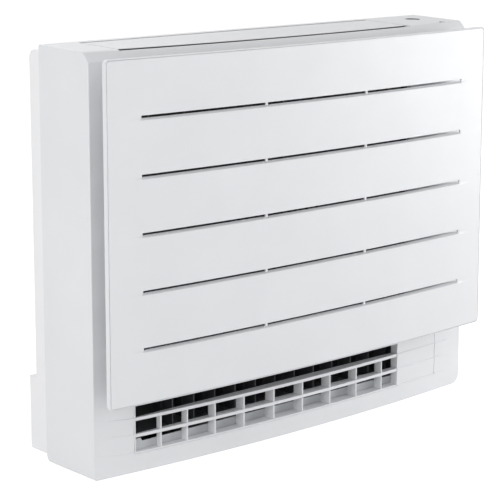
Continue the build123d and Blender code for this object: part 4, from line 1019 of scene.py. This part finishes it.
def casing_fittings():
    """Pivot pins for the panel, catches for its latches, and ears for the flap."""
    tree = bmesh.new()
    root = front_at(arm_x) + fitting_gap
    jaws = ((latch_low.z - jaw_out, latch_low.z + jaw_in), (latch_high.z - jaw_in, latch_high.z + jaw_out))
    for side in (-1, 1):
        inner = side * (arm_x + arm_half + fitting_gap)
        outer = inner + side * ear_width
        tip = side * (arm_x - arm_half - fitting_gap)
        add_box(tree, sorted((inner, outer)), (hinge.y, root), about(hinge.z, pivot_radius), fitting_edge)
        add_rod(tree, (min(inner, outer), hinge.y, hinge.z), ear_width, "x", pivot_radius)
        add_rod(tree, (min(tip, outer), hinge.y, hinge.z), abs(outer - tip), "x", panel_pin)
        catch = about(side * (latch_low.x + catch_out), catch_half)
        for jaw in jaws:
            add_box(tree, catch, (casing_front - catch_reach, root), jaw, fitting_edge)
        add_box(tree, catch, (casing_front + 0.5 * MM, root), (latch_low.z, latch_high.z), fitting_edge)
    for x in (flap_left - ear_gap - ear_width, flap_right + ear_gap):
        add_box(tree, (x, x + ear_width), about(flap_hinge.y, ear_radius),
                (flap_hinge.z, top_at(flap_hinge.y) - fitting_gap), fitting_edge)
        add_rod(tree, (x, flap_hinge.y, flap_hinge.z), ear_width, "x", ear_radius)
    return object_from("casing_fittings", tree)


# %% [markdown]
# ## Geometry Nodes for what repeats
#
# The guard, the grille's ribs, the filters' net, the cooling fins and the screws all repeat by a
# rule. Each is a small node tree with named inputs for its sizes. The helpers here start a tree,
# work with sums and vectors, and run a tree and turn its result into a plain mesh.

# %% Helpers for the trees
def new_tree(name, **inputs):
    """A node tree with named inputs, and the node that holds them."""
    tree = bpy.data.node_groups.new(name, "GeometryNodeTree")
    tree.interface.new_socket("Geometry", in_out="OUTPUT", socket_type="NodeSocketGeometry")
    for label, value in inputs.items():
        kind = "NodeSocketInt" if isinstance(value, int) else "NodeSocketFloat"
        tree.interface.new_socket(label, in_out="INPUT", socket_type=kind).default_value = value
    return tree, tree.nodes.new("NodeGroupInput").outputs


def total(tree, *values):
    """The sum of several values."""
    result = values[0]
    for value in values[1:]:
        result = calc(tree, "ADD", result, value)
    return result


def vector(tree, x=0.0, y=0.0, z=0.0):
    """A vector from three values."""
    return node(tree, "ShaderNodeCombineXYZ", X=x, Y=y, Z=z).outputs[0]


def parts_of(tree, value):
    """The three values of a vector."""
    return node(tree, "ShaderNodeSeparateXYZ", Vector=value).outputs


def bowed(tree, x, front, depth, half):
    """Y of a bowed face, as nodes."""
    share = calc(tree, "DIVIDE", x, half)
    return total(tree, front, calc(tree, "MULTIPLY", depth, calc(tree, "MULTIPLY", share, share)))


def close_tree(tree, geometry, slot):
    """Ends a tree in Realize Instances and Set Material."""
    real = node(tree, "GeometryNodeRealizeInstances", Geometry=geometry)
    dressed = node(tree, "GeometryNodeSetMaterial", Geometry=real.outputs[0], Material=finishes[slot])
    end = tree.nodes.new("NodeGroupOutput")
    tree.links.new(dressed.outputs[0], end.inputs["Geometry"])


def grow(name, tree, **values):
    """Runs a tree with the given inputs and returns a plain mesh object."""
    piece = object_from(name, bmesh.new())
    maker = piece.modifiers.new("maker", "NODES")
    maker.node_group = tree
    labels = {item.name: item.identifier for item in tree.interface.items_tree if item.in_out == "INPUT"}
    for label, value in values.items():
        maker[labels[label]] = value
    return settle(piece)


# %% A tree for rows of boxes
def box_row_tree(slot):
    """A row of equal boxes from First to Last along X or Z: slats, wires and fins are all such rows."""
    tree, given = new_tree("box_row", Count=10, First=0.0, Last=1.0, Along_Z=0, Size_X=0.01, Size_Y=0.01,
                           Size_Z=0.01, Middle_X=0.0, Middle_Y=0.0, Middle_Z=0.0)
    place = node(tree, "GeometryNodeInputIndex").outputs[0]
    gaps = calc(tree, "SUBTRACT", given["Count"], 1)
    span = calc(tree, "SUBTRACT", given["Last"], given["First"])
    spot = total(tree, given["First"], calc(tree, "DIVIDE", calc(tree, "MULTIPLY", place, span), gaps))
    flat = calc(tree, "SUBTRACT", 1, given["Along_Z"])

    def along(middle, share):
        return total(tree, calc(tree, "MULTIPLY", spot, share),
                     calc(tree, "MULTIPLY", middle, calc(tree, "SUBTRACT", 1, share)))
    where = vector(tree, along(given["Middle_X"], flat), given["Middle_Y"],
                   along(given["Middle_Z"], given["Along_Z"]))
    points = node(tree, "GeometryNodeMeshLine", Count=given["Count"])
    set_out = node(tree, "GeometryNodeSetPosition", Geometry=points.outputs[0], Position=where)
    size = vector(tree, given["Size_X"], given["Size_Y"], given["Size_Z"])
    shape = node(tree, "GeometryNodeMeshCube", Size=size)
    row = node(tree, "GeometryNodeInstanceOnPoints", Points=set_out.outputs[0], Instance=shape.outputs[0])
    close_tree(tree, row.outputs[0], slot)
    return tree


def box_row(name, tree, count, span, upright, size, middle):
    """Runs the row tree. Upright rows are stacked along Z, the others stand side by side along X."""
    return grow(name, tree, Count=count, First=span[0], Last=span[1], Along_Z=int(upright), Size_X=size[0],
                Size_Y=size[1], Size_Z=size[2], Middle_X=middle[0], Middle_Y=middle[1], Middle_Z=middle[2])


# %% The guard, and the finished casing
white_row = box_row_tree("white_shell")
guard_bar = 3.0 * MM
guard_columns, guard_rows = 17, 9


def guard():
    """The finger guard behind the filters: crossed bars over the intake."""
    width = window["right"] - window["left"]
    height = window["high"] - window["low"]
    middle = ((window["left"] + window["right"]) / 2, guard_front + guard_thick / 2,
              (window["low"] + window["high"]) / 2)
    reach_x = (window["left"] + guard_bar / 2, window["right"] - guard_bar / 2)
    reach_z = (window["low"] + guard_bar / 2, window["high"] - guard_bar / 2)
    across = box_row("across", white_row, guard_columns + 1, reach_x, False,
                     (guard_bar, guard_thick, height + 1 * MM), middle)
    up = box_row("up", white_row, guard_rows + 1, reach_z, True,
                 (width + 1 * MM, guard_thick * 0.9, guard_bar), middle)
    return [across, up]


casing = join("casing_shell", [casing_shell(), casing_fittings(), *guard()])
finish_piece(casing, "unit", "white_shell", "front_casing")

# %% [markdown]
# ## Lower grille
#
# The outlet's grille is one moulding: bars whose fronts follow the bow while their backs run
# straight, upright ribs that stand closer together at the left, and a blank end at the right, which
# carries the casing's creases on. The bars and ribs follow rules, so Geometry Nodes make them. The
# blank end is a hollow block, carved like the casing.

# %% Sizes of the grille
insert_gap = 1.1 * MM
insert_left = outlet["left"] + insert_gap
insert_right = outlet["right"] - insert_gap
insert_low = outlet["low"] + 0.1 * MM
insert_high = outlet["high"] - insert_gap
grille_back = casing_front + 20.0 * MM
bar_back = 2.4 * MM
bar_overlap = 1.0 * MM      # how far a bar reaches into what holds its ends
bar_points = 61             # along a bar
rib_thick = 2.2 * MM
rib_setback = 1.2 * MM
rib_first = insert_left + 46.0 * MM
opening_left = insert_left + rib_thick


# %% The bars
def bar_tree(slot):
    """A bar across the outlet. Its front follows the bow, its back is straight, and it thins to the back."""
    tree, given = new_tree("bar", Left=-0.3, Right=0.2, Height=0.05, Front_Thick=0.0046, Back_Thick=0.0024,
                           Back=grille_back, Casing_Front=casing_front, Bow=casing_bow, Half=half_width)
    block = node(tree, "GeometryNodeMeshCube", Size=(1, 1, 1), Vertices_X=bar_points)
    spot = parts_of(tree, node(tree, "GeometryNodeInputPosition").outputs[0])
    across = calc(tree, "ADD", spot["X"], 0.5)
    depth = calc(tree, "ADD", spot["Y"], 0.5)

    def mixed(share, first, last):
        return total(tree, first, calc(tree, "MULTIPLY", share, calc(tree, "SUBTRACT", last, first)))
    x = mixed(across, given["Left"], given["Right"])
    y = mixed(depth, bowed(tree, x, given["Casing_Front"], given["Bow"], given["Half"]), given["Back"])
    thick = mixed(depth, given["Front_Thick"], given["Back_Thick"])
    z = total(tree, given["Height"], calc(tree, "MULTIPLY", spot["Z"], thick))
    shaped = node(tree, "GeometryNodeSetPosition", Geometry=block.outputs[0], Position=vector(tree, x, y, z))
    close_tree(tree, shaped.outputs[0], slot)
    return tree


# %% The ribs
def rib_tree(slot):
    """Upright ribs. Full cells are one width, and each cell left of them is a step narrower."""
    tree, given = new_tree("ribs", Count=9, First=0.0, Cell=0.058, Cell_Step=0.004, Full_From=4, Thick=0.0022,
                           Low=0.0, High=0.1, Setback=0.001, Back=grille_back, Casing_Front=casing_front,
                           Bow=casing_bow, Half=half_width)

    def triangle(number):
        return calc(tree, "MULTIPLY", calc(tree, "MULTIPLY", number, calc(tree, "ADD", number, 1)), 0.5)
    place = node(tree, "GeometryNodeInputIndex").outputs[0]
    narrow = calc(tree, "SUBTRACT", given["Full_From"], 1)
    left_over = calc(tree, "MAXIMUM", calc(tree, "SUBTRACT", narrow, place), 0)
    steps = calc(tree, "SUBTRACT", triangle(narrow), triangle(left_over))
    x = total(tree, given["First"], calc(tree, "MULTIPLY", place, given["Cell"]),
              calc(tree, "MULTIPLY", calc(tree, "MULTIPLY", steps, given["Cell_Step"]), -1))
    front = total(tree, bowed(tree, x, given["Casing_Front"], given["Bow"], given["Half"]), given["Setback"])
    middle_y = calc(tree, "MULTIPLY", calc(tree, "ADD", front, given["Back"]), 0.5)
    middle_z = calc(tree, "MULTIPLY", calc(tree, "ADD", given["Low"], given["High"]), 0.5)
    points = node(tree, "GeometryNodeMeshLine", Count=given["Count"])
    set_out = node(tree, "GeometryNodeSetPosition", Geometry=points.outputs[0],
                   Position=vector(tree, x, middle_y, middle_z))
    size = vector(tree, given["Thick"], calc(tree, "SUBTRACT", given["Back"], front),
                  calc(tree, "SUBTRACT", given["High"], given["Low"]))
    keep_size = node(tree, "GeometryNodeCaptureAttribute", Geometry=set_out.outputs[0])
    keep_size.capture_items.new("VECTOR", "Size")
    tree.links.new(size, keep_size.inputs[1])
    shape = node(tree, "GeometryNodeMeshCube", Size=(1, 1, 1))
    ribs = node(tree, "GeometryNodeInstanceOnPoints", Points=keep_size.outputs[0], Instance=shape.outputs[0],
                Scale=keep_size.outputs[1])
    close_tree(tree, ribs.outputs[0], slot)
    return tree


# %% The blank end, and the finished grille
def blank_end():
    """The blank right end: a hollow block with the casing's creases on its face."""
    left, right = outlet["open_right"], insert_right
    tree = reopened(plan_tool(left, right, front_at, grille_back, insert_low, insert_high))
    add_creases(tree)
    block = object_from("blank_end", tree)
    carve(block, plan_tool(left + casing_wall, right - casing_wall, lambda x: front_at(x, casing_wall),
                           grille_back + beyond, insert_low + casing_wall, insert_high - casing_wall))
    return block


def grille():
    """All the grille's parts, before they are joined."""
    bar, rib = bar_tree("white_shell"), rib_tree("white_shell")
    parts = [blank_end(),
             plan_tool(insert_left, opening_left, front_at, grille_back, insert_low, insert_high)]
    strips = [(z, bar_front, bar_back) for z in bar_heights]
    strips += [(z, bar_back, bar_back) for z in (insert_low + bar_back / 2, insert_high - bar_back / 2)]
    for z, front, back in strips:
        parts.append(grow("bar", bar, Left=opening_left - bar_overlap, Height=z, Front_Thick=front,
                          Right=outlet["open_right"] + bar_overlap, Back_Thick=back))
    parts.append(grow("ribs", rib, First=rib_first, Thick=rib_thick, Low=insert_low + bar_back / 2,
                      High=bar_heights[0], Setback=rib_setback))
    tabs = bmesh.new()
    for z in bar_heights:
        add_box(tabs, (insert_right - bar_overlap, outlet["right"] + bar_overlap),
                (front_at(insert_right), grille_back), (z + 0.5 * MM, z + 3.5 * MM))
    return parts + [object_from("tabs", tabs)]


def soften(piece, width, angle=50.0):
    """Rounds a finished piece's sharp edges a little."""
    edge = piece.modifiers.new("edge", "BEVEL")
    edge.width = width
    edge.segments = 2
    edge.limit_method = "ANGLE"
    edge.angle_limit = radians(angle)
    edge.miter_outer = "MITER_ARC"
    return settle(piece)


grille_piece = soften(join("outlet_grille", grille()), 0.3 * MM)
finish_piece(grille_piece, "unit", "white_shell", "lower_grille")

# %% [markdown]
# ### The sill behind it
#
# Through the lowest row of openings one looks onto a pale sill, which stops short of the bar above
# it and leaves a dark gap. It is a bent strip: a wall that leans back a little, and a ledge behind
# it that lies too low to be seen. At its left end a cheek rises to the bar, and a rounded corner
# leads from the cheek down to the gap.

# %% The sill
sill_low, sill_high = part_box("outlet_sill")
sill_sheet = 2.0 * MM
sill_lean = 0.8 * MM
ledge_drop = 9.0 * MM
sill_foot = 26.0 * MM       # how far the wall reaches down below its top, behind the grille's bottom strip
cheek_width = 15.0 * MM
cheek_rise = 5.0 * MM
cheek_corner = 3.0 * MM
cheek_points = 7            # along that corner
leg_count = 4
leg_half = 1.5 * MM
leg_margin = (27.0 * MM, 35.0 * MM)


def sill():
    """The bent strip with its cheek and its legs."""
    front, top = sill_low.y + 0.2 * MM, sill_high.z
    wall_low = top - sill_foot
    inner, ledge = front + sill_lean + sill_sheet, top - ledge_drop
    outline = [(front, wall_low), (front + sill_lean, top), (inner, top), (inner, ledge),
               (sill_high.y, ledge), (sill_high.y, ledge - sill_sheet),
               (front + sill_sheet, ledge - sill_sheet), (front + sill_sheet, wall_low)]
    strip = prism([(sill_low.x, y, z) for y, z in outline], Vector((sill_high.x - sill_low.x, 0, 0)))
    cheek_end = sill_low.x + cheek_width
    curve = [(cheek_end + cheek_corner * (1 - sin(turn)), top + cheek_corner * (1 - cos(turn)))
             for turn in evenly(0.0, pi / 2, cheek_points)]
    cheek = [(sill_low.x, top - 1 * MM), (cheek_end + cheek_corner, top - 1 * MM), *reversed(curve),
             (cheek_end, top + cheek_rise), (sill_low.x, top + cheek_rise)]
    cheek = list(dict.fromkeys(cheek))
    end = prism([(x, front + sill_lean, z) for x, z in cheek], Vector((0, sill_sheet, 0)))
    legs = bmesh.new()
    for x in evenly(sill_low.x + leg_margin[0], sill_high.x - leg_margin[1], leg_count):
        add_box(legs, about(x, leg_half), (sill_low.y + 3 * MM, sill_high.y - 4 * MM),
                (sill_low.z, ledge - 1 * MM), 0.4 * MM)
    return soften(join("sill_strip", [strip, end, object_from("legs", legs)]), 0.5 * MM, 60.0)


finish_piece(sill(), "unit", "pale_grey", "outlet_sill")

# %% [markdown]
# ## Flap, button, indicator, filters and fins
#
# The flap closes the upper outlet. It is a thin plate that continues the casing's top, with round
# edges that turn the gap round it into a soft dark line. The power button is a shallow dish turned
# on a lathe, sheared to the top's slope, and a thin grey ring lines the dish's wall: painted shade,
# for the shade that falls on the dish's far wall. The indicator beside it is a small dark crown. The
# filters are frames with a fine net, which shows through the panel's slots and when the panel is open,
# and behind them stand the fins of the heat exchanger.

# %% The flap
flap_back = (32.2 * MM, 34.9 * MM)      # the rear edge is cut on a slant, to clear the casing as it turns
flap_edge = 0.9 * MM        # thickness at the very front, which is cut back from below
flap_under = 3.5 * MM
flap_fall = (5.0 * MM, 1.4 * MM)        # near its rear edge the top falls away, over this length and height
flap_columns = 61
rib_ahead = (57.0 * MM, 30.0 * MM)      # how far before the hinge each stiffening rib lies
stiffener = {"half": 0.8 * MM, "height": 3.0 * MM, "margin": 20.0 * MM}
flap_ear = {"half": 5.0 * MM, "thick": 3.0 * MM, "radius": 5.5 * MM, "inset": 2.0 * MM}
flap_pin_radius = 3.0 * MM
flap_pin_reach = 9.0 * MM


def flap_plate():
    """The flap: a plate that follows the casing's top, with ribs, ears and pins under it."""
    tree = bmesh.new()
    columns = []
    for x in evenly(flap_left + flap_gap, flap_right - flap_gap, flap_columns):
        front = front_at(x, flap_margin + flap_front_gap)
        around = ((front, 0), (flap_back[0] - flap_fall[0], 0), (flap_back[0], flap_fall[1]),
                  (flap_back[1], casing_wall), (front + flap_under, casing_wall), (front, flap_edge))
        columns.append([tree.verts.new((x, y, top_at(y) - down)) for y, down in around])
    for here, there in zip(columns, columns[1:]):
        for k in range(len(here)):
            after = (k + 1) % len(here)
            tree.faces.new((here[k], here[after], there[after], there[k]))
    tree.faces.new(list(reversed(columns[0])))
    tree.faces.new(columns[-1])
    bmesh.ops.recalc_face_normals(tree, faces=tree.faces)
    tree = reopened(soften(object_from("flap_plate", tree), 0.35 * MM))
    add_flap_fittings(tree)
    return object_from("flap_plate", tree)


def add_flap_fittings(tree):
    """The ribs under the flap, and at each end an ear with its pin."""
    for ahead in rib_ahead:
        y = flap_hinge.y - ahead
        add_box(tree, (flap_left + stiffener["margin"], flap_right - stiffener["margin"]),
                about(y, stiffener["half"]),
                (top_at(y) - casing_wall - stiffener["height"], top_at(y) - 1 * MM))
    thick = flap_ear["thick"]
    left = flap_left + flap_gap + flap_ear["inset"]
    right = flap_right - flap_gap - flap_ear["inset"] - thick
    for x, pin_start in ((left, left + thick - flap_pin_reach), (right, right)):
        add_box(tree, (x, x + thick), about(flap_hinge.y, flap_ear["half"]),
                (flap_hinge.z, top_at(flap_hinge.y) - 1.2 * MM), 0.3 * MM)
        add_rod(tree, (x, flap_hinge.y, flap_hinge.z), thick, "x", flap_ear["radius"])
        add_rod(tree, (pin_start, flap_hinge.y, flap_hinge.z), flap_pin_reach, "x", flap_pin_radius)


finish_piece(flap_plate(), "flap", "white_shell", "top_flap")

# %% The button
button_segments = 64
button_rim = 0.7 * MM
dish_depth = 1.9 * MM
dish_power = 9              # how late the dish's floor turns up into its wall
shade_ring_share = (0.80, 0.985)  # the grey ring of painted shade lines this stretch of the dish's wall
shade_ring_proud = 0.15 * MM
shade_ring_sunk = 0.3 * MM
stem_radius = 2.5 * MM
stem_chamfer = 0.4 * MM


def lathe(profile, centre, segments, closed=False):
    """A solid turned about a vertical line. Its profile ends on the line, or is closed."""
    tree = bmesh.new()
    rings = []
    turns = [2 * pi * k / segments for k in range(segments)]
    for radius, height in profile:
        if radius == 0:
            rings.append([tree.verts.new((centre.x, centre.y, height))])
            continue
        rings.append([tree.verts.new((centre.x + radius * cos(turn), centre.y + radius * sin(turn), height))
                      for turn in turns])
    for upper, lower in zip(rings, rings[1:] + rings[:1] if closed else rings[1:]):
        for k in range(segments):
            after = (k + 1) % segments
            loop = [upper[k % len(upper)], lower[k % len(lower)], lower[after % len(lower)],
                    upper[after % len(upper)]]
            tree.faces.new(list(dict.fromkeys(loop)))
    bmesh.ops.recalc_face_normals(tree, faces=tree.faces)
    return tree


def dish_point(share, lift=0.0):
    """A (radius, height) point of the dish, at a share of its radius."""
    sunk = dish_depth * (1 - share ** dish_power)
    return ((button_radius - button_rim) * share, top_at(button_place.y) - sunk + lift)


def tilt_to_top(tree, above=0.0):
    """Shears what lies above a height to the casing's slope."""
    slope = top_fall / (casing_back - casing_front)
    for vertex in tree.verts:
        if vertex.co.z > above:
            vertex.co.z += slope * (vertex.co.y - button_place.y)


def power_button():
    """The round button: a dish with a steep rim, its top sheared to the casing's slope."""
    top = top_at(button_place.y)
    dish = [dish_point(share) for share in evenly(0.0, 0.7, 6) + evenly(0.75, 1.0, 9)]
    edge = [(button_radius - button_rim * (1 - sin(turn)), top - button_rim * (1 - cos(turn)))
            for turn in evenly(pi / 8, pi / 2, 4)]
    foot = button_low.z
    under = top - casing_wall - dish_depth
    below = [(button_radius, under), (stem_radius, under), (stem_radius, foot + stem_chamfer),
             (stem_radius - stem_chamfer, foot), (0, foot)]
    tree = lathe(dish + edge + below, button_place, button_segments)
    tilt_to_top(tree, under + 0.1 * MM)
    return object_from("button_dish", tree)


def button_ring():
    """A thin grey ring that lines the dish's wall: painted shade, for the shade that falls on the dish's far wall.
    """
    shares = evenly(shade_ring_share[0], shade_ring_share[1], 8)
    over = [dish_point(share, shade_ring_proud) for share in shares]
    below = [dish_point(share, -shade_ring_sunk) for share in reversed(shares)]
    tree = lathe(over + below, button_place, button_segments, closed=True)
    tilt_to_top(tree)
    return object_from("button_ring", tree)


finish_piece(power_button(), "button", "white_shell", "power_button")
# The grey ring is painted shade: it darkens the dish's wall where shade falls on it.
finish_piece(button_ring(), "button", "grey_duct")

# %% The indicator
lens_rise = 1.1 * MM
lens_crown = 9.0 * MM       # length of the part that stands proud
lens_edge = 0.45 * MM


def indicator():
    """The indicator: a bar in the casing's slot, with a small crown that stands above the top."""
    tree = bmesh.new()
    flush = top_at(lens_low.y)
    add_box(tree, (lens_low.x, lens_high.x), (lens_low.y, lens_high.y), (lens_low.z, flush), 0.2 * MM)
    add_box(tree, about((lens_low.x + lens_high.x) / 2, lens_crown / 2),
            (lens_low.y + 0.1 * MM, lens_high.y - 0.1 * MM), (lens_low.z + 1 * MM, flush + lens_rise),
            lens_edge)
    return object_from("indicator_crown", tree)


finish_piece(indicator(), "unit", "smoked_lens", "indicator_lens")

# %% The filters
dark_row = box_row_tree("filter_dark")
net_pitch = 2.6 * MM
net_thread = 0.45 * MM
filter_frame = 7.0 * MM
filter_edge = 0.6 * MM
cross_bars = (0.25, 0.5, 0.75)          # heights, as shares of the filter's
cross_bar_half = 1.5 * MM


def filter_frame_part(low, high):
    """The frame of a filter, with its cross bars."""
    tree = bmesh.new()
    for z in (low.z, high.z - filter_frame):
        add_box(tree, (low.x, high.x), (low.y, high.y), (z, z + filter_frame), filter_edge)
    for x in (low.x, high.x - filter_frame):
        add_box(tree, (x, x + filter_frame), (low.y + 0.1 * MM, high.y - 0.1 * MM),
                (low.z + 1 * MM, high.z - 1 * MM), filter_edge)
    for share in cross_bars:
        z = low.z + (high.z - low.z) * share
        add_box(tree, (low.x + 2 * MM, high.x - 2 * MM), (low.y + 0.6 * MM, high.y - 0.6 * MM),
                about(z, cross_bar_half), 0.4 * MM)
    return object_from("filter_frame", tree)


def filter_piece(name):
    """One air filter: its frame, and a net of fine threads."""
    low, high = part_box(name)
    width, height = high.x - low.x, high.z - low.z
    middle = ((low.x + high.x) / 2, (low.y + high.y) / 2, (low.z + high.z) / 2)
    span_x = (low.x + filter_frame / 2, high.x - filter_frame / 2)
    span_z = (low.z + filter_frame / 2, high.z - filter_frame / 2)
    frame_part = filter_frame_part(low, high)
    across = box_row("threads", dark_row, round(width / net_pitch), span_x, False,
                     (net_thread, net_thread, height - filter_frame), middle)
    up = box_row("threads", dark_row, round(height / net_pitch), span_z, True,
                 (width - filter_frame, net_thread * 0.9, net_thread), middle)
    finish_piece(join(name + "_net", [frame_part, across, up]), "unit", "filter_dark", name)


for name in ("air_filter_left", "air_filter_right"):
    filter_piece(name)

# %% The cooling fins
fin_pitch = 1.7 * MM
fin_thick = 0.2 * MM


def cooling_fins():
    """The coil's fins: a long row of thin foils between its two end plates."""
    low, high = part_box("coil_fins")
    size = (fin_thick, high.y - low.y, high.z - low.z)
    middle = ((low.x + high.x) / 2, (low.y + high.y) / 2, (low.z + high.z) / 2)
    foil_row = box_row_tree("fin_aluminium")
    count = round((high.x - low.x) / fin_pitch)
    fins = box_row("coil_foils", foil_row, count, (low.x + fin_thick, high.x - fin_thick), False, size,
                   middle)
    finish_piece(fins, "unit", "fin_aluminium", "coil_fins")


cooling_fins()

# %% [markdown]
# ## Screws
#
# Four screws hold the casing to the frame, in wells that the panel hides. A screw is turned on the
# same lathe as the button, a cross is cut into its head, and Geometry Nodes put a copy in each well.

# %% The screws
screws_low, screws_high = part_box("casing_screws")
head_height = 2.6 * MM
dome_height = 1.2 * MM
shank_radius = 2.0 * MM
cross_arm = 2.4 * MM
cross_width = 0.9 * MM
cross_depth = 1.4 * MM


def one_screw():
    """A screw pointing down, its head's top at the origin, with a cross recess."""
    dome = [(screw_head * sin(turn), -dome_height * (1 - cos(turn))) for turn in evenly(0.0, pi / 2, 6)]
    tip = -(screws_high.y - screws_low.y) + 2 * MM
    under = [(screw_head, -head_height), (shank_radius, -head_height), (shank_radius, tip + 2 * MM), (0, tip)]
    screw = object_from("screw", lathe(dome + under, Vector((0, 0, 0)), 32))
    long, narrow = about(0.0, cross_arm), about(0.0, cross_width / 2)
    for x, y in ((long, narrow), (narrow, long)):
        carve(screw, box_tool(x, y, (-cross_depth, 1 * MM)))
    return screw


def screw_tree(screw):
    """Puts a copy of a screw at the four wells, each turned a little differently."""
    tree, given = new_tree("screws", Out_X=0.3, Low=0.1, High=0.5, Head_Y=0.0)
    place = node(tree, "GeometryNodeInputIndex").outputs[0]
    odd = calc(tree, "MODULO", place, 2)
    upper = calc(tree, "GREATER_THAN", place, 1.5)
    side = calc(tree, "SUBTRACT", calc(tree, "MULTIPLY", odd, 2), 1)
    rise = calc(tree, "MULTIPLY", upper, calc(tree, "SUBTRACT", given["High"], given["Low"]))
    height = total(tree, given["Low"], rise)
    where = vector(tree, calc(tree, "MULTIPLY", side, given["Out_X"]), given["Head_Y"], height)
    points = node(tree, "GeometryNodeMeshLine", Count=4)
    set_out = node(tree, "GeometryNodeSetPosition", Geometry=points.outputs[0], Position=where)
    shape = node(tree, "GeometryNodeObjectInfo", Object=screw)
    spin = node(tree, "FunctionNodeRandomValue", Max=2 * pi, Seed=7)
    turn = vector(tree, pi / 2, spin.outputs[1], 0.0)
    copies = node(tree, "GeometryNodeInstanceOnPoints", Points=set_out.outputs[0],
                  Instance=shape.outputs["Geometry"], Rotation=turn)
    close_tree(tree, copies.outputs[0], "zinc_steel")
    return tree


screw = one_screw()
screws = grow("casing_screw_set", screw_tree(screw), Out_X=screw_places[-1][0], Low=screw_places[0][1],
              High=screw_places[-1][1], Head_Y=screws_low.y)
bpy.data.objects.remove(screw)
finish_piece(screws, "unit", "zinc_steel", "casing_screws")
